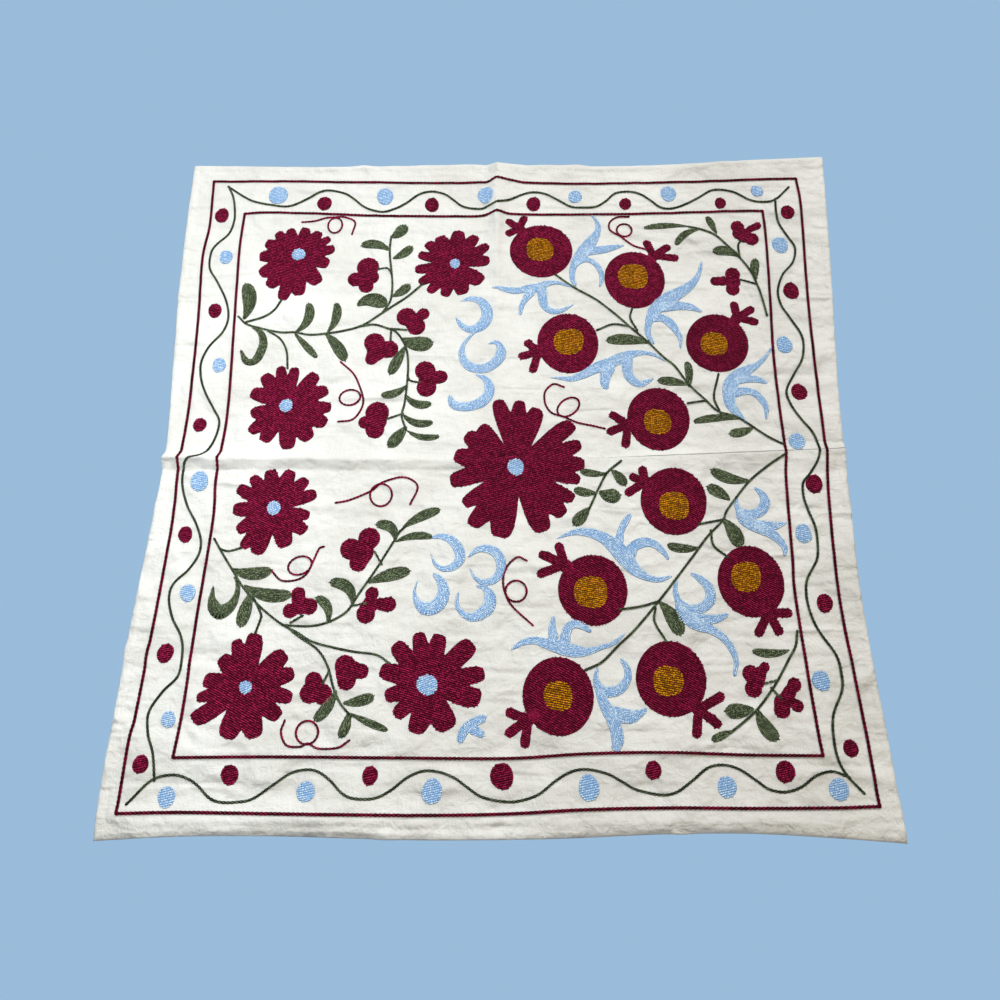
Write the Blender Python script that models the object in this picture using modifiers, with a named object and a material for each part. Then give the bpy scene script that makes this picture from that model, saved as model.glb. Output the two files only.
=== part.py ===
"""Suzani: a square cotton cloth with embroidered flowers, laid out after it was kept folded in four.

The cloth is one sheet, and its turned hem is part of it. It lies flat on a surface. The two creases of the
folded cloth still stand up: the one down the middle is high at the far edge and dies away towards the near
one, and the one across the middle is a ridge on the left and a sharp line with a soft swell on the right.
Small puckers run in from the hem. The needlework is thread on the surface, so no stitch is modelled here.

Metres, +Z up. The origin is the middle of the cloth's outline, on the surface that it lies on.
"""

from collections import namedtuple

import bmesh
import bpy
import numpy as np

CLOTH_THICKNESS = 0.0014
HEM_THICKNESS = 0.0024
HEM_WIDTH = 0.010
HEM_SLOPE = 0.008
EDGE_ROUND = 0.0004

COTTON_COLOUR = (0.84, 0.83, 0.80, 1.0)
COTTON_ROUGHNESS = 0.9

# The outline: how far out each edge lies, at places along it. The cloth is drawn in at the creases.
Edge = namedtuple("Edge", "along out")
TOP_EDGE = (
    Edge(-0.508, 0.4930),
    Edge(-0.300, 0.4905),
    Edge(-0.100, 0.4932),
    Edge(-0.017, 0.4975),
    Edge(0.050, 0.4930),
    Edge(0.150, 0.4900),
    Edge(0.260, 0.4930),
    Edge(0.400, 0.5020),
    Edge(0.508, 0.5065),
)
BOTTOM_EDGE = (
    Edge(-0.506, -0.5065),
    Edge(-0.400, -0.5010),
    Edge(-0.300, -0.5000),
    Edge(-0.100, -0.5035),
    Edge(0.060, -0.5010),
    Edge(0.200, -0.4950),
    Edge(0.300, -0.4940),
    Edge(0.400, -0.4985),
    Edge(0.485, -0.5040),
)
LEFT_EDGE = (
    Edge(-0.5065, -0.5065),
    Edge(-0.470, -0.5080),
    Edge(-0.360, -0.5050),
    Edge(-0.240, -0.5005),
    Edge(-0.120, -0.4935),
    Edge(-0.030, -0.4885),
    Edge(0.010, -0.4880),
    Edge(0.120, -0.4940),
    Edge(0.240, -0.5020),
    Edge(0.400, -0.5070),
    Edge(0.493, -0.5080),
)
RIGHT_EDGE = (
    Edge(-0.504, 0.4855),
    Edge(-0.400, 0.4815),
    Edge(-0.300, 0.4760),
    Edge(-0.200, 0.4722),
    Edge(-0.060, 0.4755),
    Edge(0.010, 0.4770),
    Edge(0.110, 0.4815),
    Edge(0.240, 0.4910),
    Edge(0.400, 0.5020),
    Edge(0.5065, 0.5080),
)

# The creases: the ridge's line and height, and how far its two flanks reach, at places along it.
Crease = namedtuple("Crease", "along line rise low_side high_side")
CREASE_DOWN_THE_MIDDLE = (
    Crease(-0.510, -0.0120, 0.0012, 0.014, 0.014),
    Crease(0.000, -0.0135, 0.0012, 0.013, 0.013),
    Crease(0.150, -0.0150, 0.0018, 0.014, 0.014),
    Crease(0.250, -0.0160, 0.0032, 0.016, 0.017),
    Crease(0.330, -0.0165, 0.0058, 0.018, 0.020),
    Crease(0.400, -0.0170, 0.0088, 0.020, 0.024),
    Crease(0.510, -0.0170, 0.0122, 0.024, 0.046),
)
CREASE_ACROSS_THE_MIDDLE = (
    Crease(-0.510, -0.0110, 0.0068, 0.018, 0.015),
    Crease(-0.300, -0.0122, 0.0058, 0.016, 0.014),
    Crease(-0.100, -0.0138, 0.0044, 0.015, 0.013),
    Crease(0.000, -0.0140, 0.0026, 0.018, 0.012),
    Crease(0.100, -0.0155, 0.0020, 0.022, 0.008),
    Crease(0.250, -0.0110, 0.0024, 0.027, 0.007),
    Crease(0.400, -0.0070, 0.0032, 0.034, 0.007),
    Crease(0.510, -0.0040, 0.0036, 0.034, 0.008),
)

# Puckers and rolls near the hem, each from its inner end to its outer one.
Pucker = namedtuple("Pucker", "x0 y0 x1 y1 rise_in rise_out half_width")
PUCKERS = (
    Pucker(-0.205, 0.462, -0.238, 0.500, 0.0004, 0.0030, 0.014),
    Pucker(0.070, 0.462, 0.120, 0.500, 0.0004, 0.0030, 0.016),
    Pucker(0.330, 0.470, 0.350, 0.510, 0.0004, 0.0020, 0.018),
    Pucker(-0.390, -0.298, -0.510, -0.276, 0.0004, 0.0032, 0.018),
    Pucker(-0.440, 0.268, -0.510, 0.250, 0.0004, 0.0022, 0.016),
    Pucker(-0.455, -0.092, -0.500, -0.074, 0.0004, 0.0020, 0.014),
    Pucker(0.420, -0.450, 0.490, -0.492, 0.0004, 0.0036, 0.020),
    Pucker(0.440, 0.170, 0.490, 0.150, 0.0004, 0.0020, 0.018),
    Pucker(-0.430, -0.491, -0.060, -0.494, 0.0020, 0.0030, 0.016),
    Pucker(-0.060, -0.494, 0.380, -0.486, 0.0030, 0.0018, 0.016),
)

# The mesh's columns and rows, as shares of the cloth's width and depth: closer at the hem and the creases.
Band = namedtuple("Band", "start end steps")
COLUMN_BANDS = (
    Band(-0.500, -0.465, 4),
    Band(-0.465, -0.062, 12),
    Band(-0.062, 0.046, 13),
    Band(0.046, 0.465, 12),
    Band(0.465, 0.500, 4),
)
ROW_BANDS = (
    Band(-0.500, -0.465, 4),
    Band(-0.465, -0.048, 13),
    Band(-0.048, 0.012, 10),
    Band(0.012, 0.465, 14),
    Band(0.465, 0.500, 4),
)


def column(table, name):
    """One named column of a table."""
    return np.array([getattr(row, name) for row in table])


def smooth(table, name, along):
    """The named column read at any place along the table, on a smooth curve through its rows."""
    places = column(table, "along")
    values = column(table, name)
    along = np.clip(along, places[0], places[-1])
    slopes = np.gradient(values, places)
    low = np.clip(np.searchsorted(places, along, side="right") - 1, 0, len(places) - 2)
    step = places[low + 1] - places[low]
    t = (along - places[low]) / step
    start = values[low] * (1 + 2 * t) * (1 - t) ** 2 + slopes[low] * step * t * (1 - t) ** 2
    end = values[low + 1] * t**2 * (3 - 2 * t) + slopes[low + 1] * step * t**2 * (t - 1)
    return start + end


def ridge(distance):
    """A ridge's section: 1 at its line, down to 0 with a soft foot where the distance reaches 1."""
    s = np.clip(distance, 0, 1)
    return (1 - s) ** 2 * (1 + s)


def crease_rise(table, along, across):
    """How high one crease lifts the cloth."""
    offset = across - smooth(table, "line", along)
    side = np.where(offset < 0, smooth(table, "low_side", along), smooth(table, "high_side", along))
    return smooth(table, "rise", along) * ridge(np.abs(offset) / side)


def pucker_rise(pucker, x, y):
    """How high one pucker lifts the cloth."""
    run_x = pucker.x1 - pucker.x0
    run_y = pucker.y1 - pucker.y0
    t = ((x - pucker.x0) * run_x + (y - pucker.y0) * run_y) / (run_x**2 + run_y**2)
    t = np.clip(t, 0, 1)
    distance = np.hypot(x - pucker.x0 - t * run_x, y - pucker.y0 - t * run_y)
    s = np.clip(distance / pucker.half_width, 0, 1)
    return (pucker.rise_in + t * (pucker.rise_out - pucker.rise_in)) * (1 - s**2) ** 2


def cloth_rise(x, y):
    """Height of the cloth's underside: 0 where it lies flat on the surface."""
    rise = np.maximum(
        crease_rise(CREASE_DOWN_THE_MIDDLE, y, x),
        crease_rise(CREASE_ACROSS_THE_MIDDLE, x, y),
    )
    for pucker in PUCKERS:
        rise = np.maximum(rise, pucker_rise(pucker, x, y))
    return rise


def spread(bands):
    """The places of a grid's lines, band by band."""
    places = [bands[0].start]
    for band in bands:
        places.extend(np.linspace(band.start, band.end, band.steps + 1)[1:])
    return np.array(places)


def outline_point(u, v):
    """The point of the cloth at these shares of its width and depth, each from -0.5 to 0.5."""
    across = TOP_EDGE[0].along + (u + 0.5) * (TOP_EDGE[-1].along - TOP_EDGE[0].along)
    up = LEFT_EDGE[0].along + (v + 0.5) * (LEFT_EDGE[-1].along - LEFT_EDGE[0].along)
    for _ in range(3):
        left = smooth(LEFT_EDGE, "out", up)
        right = smooth(RIGHT_EDGE, "out", up)
        across = left + (u + 0.5) * (right - left)
        bottom = smooth(BOTTOM_EDGE, "out", across)
        top = smooth(TOP_EDGE, "out", across)
        up = bottom + (v + 0.5) * (top - bottom)
    return across, up


def cotton_material():
    material = bpy.data.materials.new("cotton_ground")
    material.use_nodes = True
    shader = material.node_tree.nodes["Principled BSDF"]
    shader.inputs["Base Color"].default_value = COTTON_COLOUR
    shader.inputs["Roughness"].default_value = COTTON_ROUGHNESS
    shader.inputs["Metallic"].default_value = 0.0
    return material


def make_cloth(collection):
    """The cloth: a grid with the outline and the folds, made solid upwards from its underside."""
    columns = spread(COLUMN_BANDS)
    rows = spread(ROW_BANDS)
    bm = bmesh.new()
    bmesh.ops.create_grid(bm, x_segments=len(columns) - 1, y_segments=len(rows) - 1, size=0.5)
    bm.verts.ensure_lookup_table()
    column_of = [round((vert.co.x + 0.5) * (len(columns) - 1)) for vert in bm.verts]
    row_of = [round((vert.co.y + 0.5) * (len(rows) - 1)) for vert in bm.verts]
    u = columns[column_of]
    v = rows[row_of]
    x, y = outline_point(u, v)
    z = cloth_rise(x, y)
    for vert, point in zip(bm.verts, zip(x, y, z)):
        vert.co = point
    mesh = bpy.data.meshes.new("cloth")
    bm.to_mesh(mesh)
    bm.free()

    cloth = bpy.data.objects.new("cloth", mesh)
    collection.objects.link(cloth)
    mesh.materials.append(cotton_material())

    from_edge = 0.5 - np.maximum(np.abs(u), np.abs(v))
    body = np.clip((from_edge - HEM_WIDTH) / HEM_SLOPE, 0, 1)
    thickness = HEM_THICKNESS + body * (CLOTH_THICKNESS - HEM_THICKNESS)
    hem = cloth.vertex_groups.new(name="thickness")
    for index, share in enumerate(thickness / HEM_THICKNESS):
        hem.add([index], float(share), "REPLACE")

    solidify = cloth.modifiers.new("cloth_thickness", "SOLIDIFY")
    solidify.thickness = HEM_THICKNESS
    solidify.offset = 1.0
    solidify.vertex_group = hem.name
    rounding = cloth.modifiers.new("hem_edge", "BEVEL")
    rounding.width = EDGE_ROUND
    rounding.segments = 1
    rounding.limit_method = "ANGLE"
    mesh.shade_smooth()
    return cloth


def main():
    for old in list(bpy.data.objects):
        bpy.data.objects.remove(old)
    suzani = bpy.data.collections.new("suzani")
    bpy.context.scene.collection.children.link(suzani)
    cloth = make_cloth(suzani)
    print(f"{cloth.name}: {len(cloth.data.vertices)} points in its underside")


main()
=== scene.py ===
# %% [markdown]
# A suzani is a square of cotton that is embroidered by hand with flowers, fruit and vines. This lesson
# dresses a plain solid of the cloth as the real thing: a crumpled cotton sheet, and every stitch as thread
# on it. The solid's pieces come from the frame, so everything here is placed in the same space, in metres,
# with the cloth lying on z = 0.

# %% Load the frame
import math
from collections import namedtuple

import bpy
import numpy as np
from mathutils import Matrix, Vector


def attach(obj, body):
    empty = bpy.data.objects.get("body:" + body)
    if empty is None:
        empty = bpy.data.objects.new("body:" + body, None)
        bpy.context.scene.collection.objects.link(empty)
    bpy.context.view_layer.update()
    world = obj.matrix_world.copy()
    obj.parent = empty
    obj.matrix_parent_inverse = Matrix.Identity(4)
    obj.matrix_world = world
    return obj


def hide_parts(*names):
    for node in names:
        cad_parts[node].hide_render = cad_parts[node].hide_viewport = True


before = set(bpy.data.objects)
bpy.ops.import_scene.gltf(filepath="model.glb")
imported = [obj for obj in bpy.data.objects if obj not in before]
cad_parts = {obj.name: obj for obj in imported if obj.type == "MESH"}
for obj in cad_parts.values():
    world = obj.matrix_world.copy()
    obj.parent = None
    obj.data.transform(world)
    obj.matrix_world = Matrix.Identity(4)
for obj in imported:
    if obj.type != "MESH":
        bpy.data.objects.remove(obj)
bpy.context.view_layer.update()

MM = 0.001
SEED = 7

# %% [markdown]
# First, the shape in which the cloth lies. A flat square would look printed, so the sheet repeats the
# solid's own outline and folds: its edges are drawn in where the two creases of the folded cloth still
# stand up, and the hem puckers. A short table holds each edge and each crease, a row for each place, and a
# smooth curve runs through the rows.

# %% The outline and the folds
Edge = namedtuple("Edge", "along out")
TOP_EDGE = (
    Edge(-0.508, 0.4930), Edge(-0.300, 0.4905), Edge(-0.100, 0.4932), Edge(-0.050, 0.4940),
    Edge(-0.017, 0.4905), Edge(0.020, 0.4920), Edge(0.060, 0.4930),
    Edge(0.150, 0.4900), Edge(0.260, 0.4930), Edge(0.400, 0.5020), Edge(0.508, 0.5065),
)
BOTTOM_EDGE = (
    Edge(-0.506, -0.5065), Edge(-0.400, -0.5010), Edge(-0.300, -0.5000), Edge(-0.100, -0.5035),
    Edge(0.060, -0.5010), Edge(0.200, -0.4950), Edge(0.300, -0.4940), Edge(0.400, -0.4985),
    Edge(0.485, -0.5040),
)
LEFT_EDGE = (
    Edge(-0.5065, -0.5065), Edge(-0.470, -0.5080), Edge(-0.360, -0.5050), Edge(-0.240, -0.5005),
    Edge(-0.120, -0.4935), Edge(-0.030, -0.4885), Edge(0.010, -0.4880), Edge(0.120, -0.4940),
    Edge(0.240, -0.5020), Edge(0.400, -0.5070), Edge(0.493, -0.5080),
)
RIGHT_EDGE = (
    Edge(-0.504, 0.4855), Edge(-0.400, 0.4815), Edge(-0.300, 0.4760), Edge(-0.200, 0.4722),
    Edge(-0.060, 0.4755),
    Edge(0.010, 0.4770), Edge(0.110, 0.4815), Edge(0.240, 0.4910), Edge(0.400, 0.5020),
    Edge(0.5065, 0.5080),
)
Crease = namedtuple("Crease", "along line rise low_side high_side flat_low flat_high", defaults=(0.0, 0.0))
CREASE_DOWN = (
    Crease(-0.510, -0.0120, 0.0012, 0.014, 0.014),
    Crease(0.000, -0.0135, 0.0012, 0.013, 0.013),
    Crease(0.150, -0.0150, 0.0018, 0.014, 0.014),
    Crease(0.250, -0.0160, 0.0032, 0.016, 0.017),
    Crease(0.330, -0.0165, 0.0058, 0.018, 0.020),
    Crease(0.400, -0.0170, 0.0090, 0.024, 0.022),
    Crease(0.450, -0.0170, 0.0096, 0.022, 0.040, 0.0, 0.8),
    Crease(0.510, -0.0170, 0.0096, 0.022, 0.050, 0.0, 1.0),
)
CREASE_ACROSS = (
    Crease(-0.510, -0.0110, 0.0092, 0.0145, 0.015, 1.0),
    Crease(-0.300, -0.0122, 0.0090, 0.0145, 0.014, 1.0),
    Crease(-0.100, -0.0138, 0.0052, 0.0150, 0.013, 0.7),
    Crease(0.000, -0.0140, 0.0026, 0.018, 0.012),
    Crease(0.100, -0.0118, 0.0022, 0.022, 0.010, 0.4),
    Crease(0.250, -0.0052, 0.0034, 0.027, 0.012, 0.4),
    Crease(0.400, 0.0002, 0.0044, 0.032, 0.016, 0.4),
    Crease(0.510, 0.0040, 0.0048, 0.032, 0.018, 0.4),
)
CREASE_NEAR = (
    Crease(-0.510, -0.484, 0.0010, 0.022, 0.030, 0.8),
    Crease(-0.430, -0.483, 0.0056, 0.017, 0.030, 0.9),
    Crease(-0.330, -0.482, 0.0078, 0.016, 0.030, 0.9),
    Crease(-0.230, -0.481, 0.0080, 0.017, 0.034, 0.9),
    Crease(-0.060, -0.486, 0.0024, 0.020, 0.036, 1.0),
    Crease(0.060, -0.484, 0.0030, 0.018, 0.034, 1.0),
    Crease(0.150, -0.483, 0.0066, 0.013, 0.034, 0.9),
    Crease(0.300, -0.480, 0.0062, 0.014, 0.034, 0.9),
    Crease(0.400, -0.478, 0.0050, 0.020, 0.034, 0.9),
    Crease(0.490, -0.470, 0.0034, 0.034, 0.030, 0.8),
)
Pucker = namedtuple("Pucker", "x0 y0 x1 y1 rise_in rise_out half_width")
PUCKERS = (
    Pucker(-0.205, 0.462, -0.238, 0.500, 0.0004, 0.0030, 0.014),
    Pucker(0.070, 0.462, 0.120, 0.500, 0.0004, 0.0030, 0.016),
    Pucker(0.330, 0.470, 0.350, 0.510, 0.0004, 0.0020, 0.018),
    Pucker(-0.390, -0.298, -0.510, -0.276, 0.0004, 0.0032, 0.018),
    Pucker(-0.440, 0.268, -0.510, 0.250, 0.0004, 0.0022, 0.016),
    Pucker(-0.455, -0.092, -0.500, -0.074, 0.0004, 0.0020, 0.014),
    Pucker(0.420, -0.450, 0.490, -0.492, 0.0004, 0.0036, 0.020),
    Pucker(0.440, 0.170, 0.490, 0.150, 0.0004, 0.0020, 0.018),
    Pucker(-0.120, -0.474, -0.150, -0.500, 0.0040, 0.0050, 0.018),
    Pucker(0.200, -0.470, 0.215, -0.496, 0.0036, 0.0048, 0.016),
)


def smooth(table, name, along):
    """The named column read at any place along the table, on a smooth curve through its rows."""
    places = np.array([row.along for row in table])
    values = np.array([getattr(row, name) for row in table])
    along = np.clip(along, places[0], places[-1])
    slopes = np.gradient(values, places)
    low = np.clip(np.searchsorted(places, along, side="right") - 1, 0, len(places) - 2)
    step = places[low + 1] - places[low]
    t = (along - places[low]) / step
    start = values[low] * (1 + 2 * t) * (1 - t) ** 2 + slopes[low] * step * t * (1 - t) ** 2
    end = values[low + 1] * t**2 * (3 - 2 * t) + slopes[low + 1] * step * t**2 * (t - 1)
    return start + end


def crease_rise(table, along, across):
    """How high one crease lifts the cloth: a sharp line with a soft foot on either side."""
    offset = across - smooth(table, "line", along)
    side = np.where(offset < 0, smooth(table, "low_side", along), smooth(table, "high_side", along))
    s = np.clip(np.abs(offset) / side, 0, 1)
    foot = (1 - s) ** 2 * (1 + s)
    flat = np.where(offset < 0, smooth(table, "flat_low", along), smooth(table, "flat_high", along))
    return smooth(table, "rise", along) * (foot + flat * (1 - s - foot))


def pucker_rise(pucker, x, y):
    """How high one pucker lifts the cloth."""
    run_x = pucker.x1 - pucker.x0
    run_y = pucker.y1 - pucker.y0
    t = np.clip(((x - pucker.x0) * run_x + (y - pucker.y0) * run_y) / (run_x**2 + run_y**2), 0, 1)
    distance = np.hypot(x - pucker.x0 - t * run_x, y - pucker.y0 - t * run_y)
    s = np.clip(distance / pucker.half_width, 0, 1)
    return (pucker.rise_in + t * (pucker.rise_out - pucker.rise_in)) * (1 - s**2) ** 2


print("crease heights at the top and left edges:", crease_rise(CREASE_DOWN, 0.49, -0.017),
      crease_rise(CREASE_ACROSS, -0.49, -0.0113))

# %% [markdown]
# Worn cotton is never quite flat between its folds. A sum of long, low waves, each with its own direction,
# is the quickest way to get that: a few terms, no texture, and the same result each run. The waves only
# lift the cloth, so that it never sinks into what it lies on.

# %% The soft waves and the height of the cloth
SHEET_THICKNESS = 0.0009
WAVE_COUNT = 16
WAVE_LONGEST = 0.150
WAVE_SHORTEST = 0.028
WAVE_HEIGHT = 0.00055


def soft_waves(x, y):
    """Low unevenness of the cloth, from 0 up."""
    draw = np.random.default_rng(SEED)
    total = np.zeros_like(x)
    for k in range(WAVE_COUNT):
        share = k / (WAVE_COUNT - 1)
        length = WAVE_LONGEST * (WAVE_SHORTEST / WAVE_LONGEST) ** share
        heading, start, bend = draw.uniform(0, 2 * math.pi, 3)
        along = x * math.cos(heading) + y * math.sin(heading)
        across = y * math.cos(heading) - x * math.sin(heading)
        phase = 2 * math.pi * along / length + start + 1.6 * np.sin(across / length * 1.9 + bend)
        total += (length / WAVE_LONGEST) ** 0.8 * (1 - np.abs(np.sin(phase)))
    return WAVE_HEIGHT * total / 2.0


def underside(x, y):
    """Height of the cloth's underside."""
    rise = np.maximum(crease_rise(CREASE_DOWN, y, x), crease_rise(CREASE_ACROSS, x, y))
    rise = np.maximum(rise, crease_rise(CREASE_NEAR, x, y))
    for pucker in PUCKERS:
        rise = np.maximum(rise, pucker_rise(pucker, x, y))
    return rise + soft_waves(x, y)


def cloth_top(x, y):
    """Height of the cloth's face, on which the thread lies."""
    return underside(x, y) + SHEET_THICKNESS


sample = np.linspace(-0.45, 0.45, 181)
print("waves rise to", round(float(soft_waves(*np.meshgrid(sample, sample)).max()) * 1000, 2), "mm")

# %% [markdown]
# The sheet itself is a grid bent to the outline and lifted by the folds. Its columns and rows stand closer
# at the creases and the hem, because that is where the surface turns. Solidify then gives it its thickness.

# %% The cloth sheet
GRID_COLUMNS = 176
GRID_ROWS = 176
HEM_WIDTH = 0.011
HEM_EXTRA = 0.0011


def crowded(count, centres, pull, spread):
    """Places from -0.5 to 0.5, standing closer around the centres."""
    fine = np.linspace(-0.5, 0.5, 4001)
    weight = 1 + sum(pull * np.exp(-(((fine - centre) / spread) ** 2)) for centre in centres)
    share = np.concatenate([[0], np.cumsum((weight[1:] + weight[:-1]) / 2)])
    return np.interp(np.linspace(0, share[-1], count + 1), share, fine)


def outline_point(u, v):
    """The point of the cloth at these shares of its width and depth, each from -0.5 to 0.5."""
    up = LEFT_EDGE[0].along + (v + 0.5) * (LEFT_EDGE[-1].along - LEFT_EDGE[0].along)
    for _ in range(3):
        left = smooth(LEFT_EDGE, "out", up)
        right = smooth(RIGHT_EDGE, "out", up)
        across = left + (u + 0.5) * (right - left)
        bottom = smooth(BOTTOM_EDGE, "out", across)
        top = smooth(TOP_EDGE, "out", across)
        up = bottom + (v + 0.5) * (top - bottom)
    return across, up


def mesh_object(name, points, faces, material, edges=()):
    """A mesh object at the origin, in the scene's collection."""
    mesh = bpy.data.meshes.new(name)
    mesh.from_pydata(points, list(edges), faces)
    mesh.update()
    piece = bpy.data.objects.new(name, mesh)
    bpy.context.scene.collection.objects.link(piece)
    if material:
        mesh.materials.append(material)
    mesh.shade_smooth()
    return piece


def plain_copy(piece):
    """The piece with its modifiers applied, as a plain mesh."""
    graph = bpy.context.evaluated_depsgraph_get()
    mesh = bpy.data.meshes.new_from_object(piece.evaluated_get(graph), depsgraph=graph)
    piece.modifiers.clear()
    old = piece.data
    piece.data = mesh
    bpy.data.meshes.remove(old)
    return piece


def make_cloth_sheet():
    u = crowded(GRID_COLUMNS, (-0.5, -0.016, 0.5), 2.2, 0.03)
    v = crowded(GRID_ROWS, (-0.5, -0.012, 0.5), 2.2, 0.03)
    uu, vv = (axis.ravel() for axis in np.meshgrid(u, v))
    x, y = outline_point(uu, vv)
    from_edge = 0.5 - np.maximum(np.abs(uu), np.abs(vv))
    hem = np.clip(1 - from_edge / HEM_WIDTH, 0, 1)
    z = underside(x, y)
    row = GRID_COLUMNS + 1
    corner = (np.arange(GRID_ROWS)[:, None] * row + np.arange(GRID_COLUMNS)).ravel()
    faces = np.stack([corner, corner + 1, corner + row + 1, corner + row], axis=1)
    sheet = mesh_object("cloth_sheet", np.stack([x, y, z], axis=1).tolist(), faces.tolist(), None)
    group = sheet.vertex_groups.new(name="thickness")
    most = SHEET_THICKNESS + HEM_EXTRA
    rounded = np.clip(from_edge / 0.0025, 0.25, 1)
    thickness = (SHEET_THICKNESS + HEM_EXTRA * (hem > 0) * np.sin(math.pi * hem**0.7)) * rounded
    for index, share in enumerate(thickness / most):
        group.add([index], float(share), "REPLACE")
    solidify = sheet.modifiers.new("thickness", "SOLIDIFY")
    solidify.thickness = most
    solidify.offset = 1.0
    solidify.vertex_group = group.name
    return plain_copy(sheet)


cloth_sheet = make_cloth_sheet()
cloth_sheet.vertex_groups.clear()
print("cloth sheet:", len(cloth_sheet.data.polygons), "faces")

# %% [markdown]
# The needlework comes in three steps. Each motif has an outline, made by a function from a few sizes. A
# thin raised bed of laid thread fills the outline, and rows of small stitches lie on the bed. Two kinds of
# outline are enough: a lobed one round a centre, for flowers, buds and fruit, and a stroke along a path,
# for leaves and scrolls. A bud is simply a few discs joined together, and so is a fruit's crown. Places on
# the cloth are written in millimetres, right and up from its middle.

# %% Outlines of the motifs
def lobed_outline(centre, tips, notch=0.66, fine=8):
    """An outline with a round lobe to each tip, in clockwise order. A tip's third number is its own notch."""
    rows = [tuple(tip) + (notch,) * (3 - len(tip)) for tip in tips]
    x = np.array([row[0] for row in rows]) - centre[0]
    y = np.array([row[1] for row in rows]) - centre[1]
    heading = np.unwrap(np.arctan2(y, x))
    heading = np.append(heading, heading[0] - 2 * math.pi)
    length = np.hypot(x, y)
    length = np.append(length, length[0])
    aside = np.linspace(0, 1, fine, endpoint=False)
    outline = []
    for k, row in enumerate(rows):
        low = row[2] * min(length[k], length[k + 1])
        middle = (heading[k] + heading[k + 1]) / 2
        for side, away in ((k, aside), (k + 1, 1 - aside)):
            reach = low + (length[side] - low) * (0.5 + 0.5 * np.cos(math.pi * away**2.2))
            turn = heading[side] + (middle - heading[side]) * away
            outline.append(np.stack([np.cos(turn) * reach, np.sin(turn) * reach], axis=1))
    return np.concatenate(outline) + np.array(centre)


def disc_outline(centre, half_width, half_height, unevenness=0.03, count=40, square=0.0):
    """A disc drawn by hand: an ellipse that isn't quite even, or a little square."""
    turn = np.linspace(0, -2 * math.pi, count, endpoint=False)
    phase = centre[0] * 0.7 + centre[1] * 1.3
    wobble = 1 + unevenness * (np.sin(2 * turn + phase) + 0.7 * np.sin(3 * turn + 2.1 * phase)) / 1.7
    wobble -= square * np.cos(4 * turn)
    ring = np.stack([np.cos(turn) * half_width * wobble, np.sin(turn) * half_height * wobble], axis=1)
    return ring + np.array(centre)


def joined_discs(centre, discs, least=2.0, count=120):
    """The outline of some discs that are joined round a centre, as seen from that centre."""
    turn = np.linspace(0, -2 * math.pi, count, endpoint=False)
    aim = np.stack([np.cos(turn), np.sin(turn)], axis=1)
    reach = np.full(count, least)
    for x, y, radius in discs:
        offset = np.array([x, y], float) - centre
        ahead = aim @ offset
        inside = radius**2 - (offset @ offset - ahead**2)
        reach = np.maximum(reach, np.where(inside > 0, ahead + np.sqrt(np.maximum(inside, 0)), 0))
    return aim * reach[:, None] + np.array(centre)


def path_through(points, spacing):
    """A smooth path through the points, as places at an even spacing."""
    points = np.asarray(points, float)
    ends = np.concatenate([[2 * points[0] - points[1]], points, [2 * points[-1] - points[-2]]])
    t = np.linspace(0, 1, 24, endpoint=False)[:, None]
    spans = []
    for a, b, c, d in zip(ends, ends[1:], ends[2:], ends[3:]):
        spans.append(0.5 * (2 * b + (c - a) * t + (2 * a - 5 * b + 4 * c - d) * t**2
                            + (3 * b - a - 3 * c + d) * t**3))
    fine = np.concatenate(spans + [points[-1:]])
    run = np.concatenate([[0], np.cumsum(np.hypot(*np.diff(fine, axis=0).T))])
    places = np.linspace(0, run[-1], max(2, round(run[-1] / spacing) + 1))
    return np.stack([np.interp(places, run, fine[:, k]) for k in (0, 1)], axis=1), places / run[-1], run[-1]


def stroke_stations(points, widths, spacing):
    """Places, sideways directions and half-widths along a stroke with round ends."""
    path, share, length = path_through(points, spacing)
    ahead = np.gradient(path, axis=0)
    ahead /= np.hypot(*ahead.T)[:, None]
    half = np.interp(share, np.linspace(0, 1, len(widths)), widths) / 2
    for distance in (share * length, (1 - share) * length):
        inward = np.clip(distance / np.maximum(half, 0.4), 0, 1)
        half = half * np.sqrt(np.clip(1 - (1 - inward) ** 2, 0.04, 1))
    return path, np.stack([-ahead[:, 1], ahead[:, 0]], axis=1), half


print("a five-lobed outline has", len(lobed_outline((0, 0), [(0, 9), (9, 3), (5, -8), (-5, -8), (-9, 3)])),
      "points")

# %% [markdown]
# A stitch is a small grain of thread. Fills are thousands of them, in rows: across a lobed outline the rows
# are straight and end at its edge, and along a stroke they follow its path. Here they are only counted out,
# as places with a heading, a length and a shade. Geometry Nodes put the thread on them afterwards.

# %% Counting out the stitches
ROW_PITCH = 2.7
STROKE_PITCH = 2.2
STITCH_STEP = 2.95
STITCH_OVERLAP = 1.22
ROW_OVERLAP = 1.02
SLANT = math.radians(9)
BED_HEIGHT = 0.75
EDGE_SLOPE = 1.6
WIDE_RINGS = (0.975, 0.93, 0.8, 0.66, 0.52, 0.38, 0.26, 0.17, 0.09)
draw = np.random.default_rng(SEED)


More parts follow.
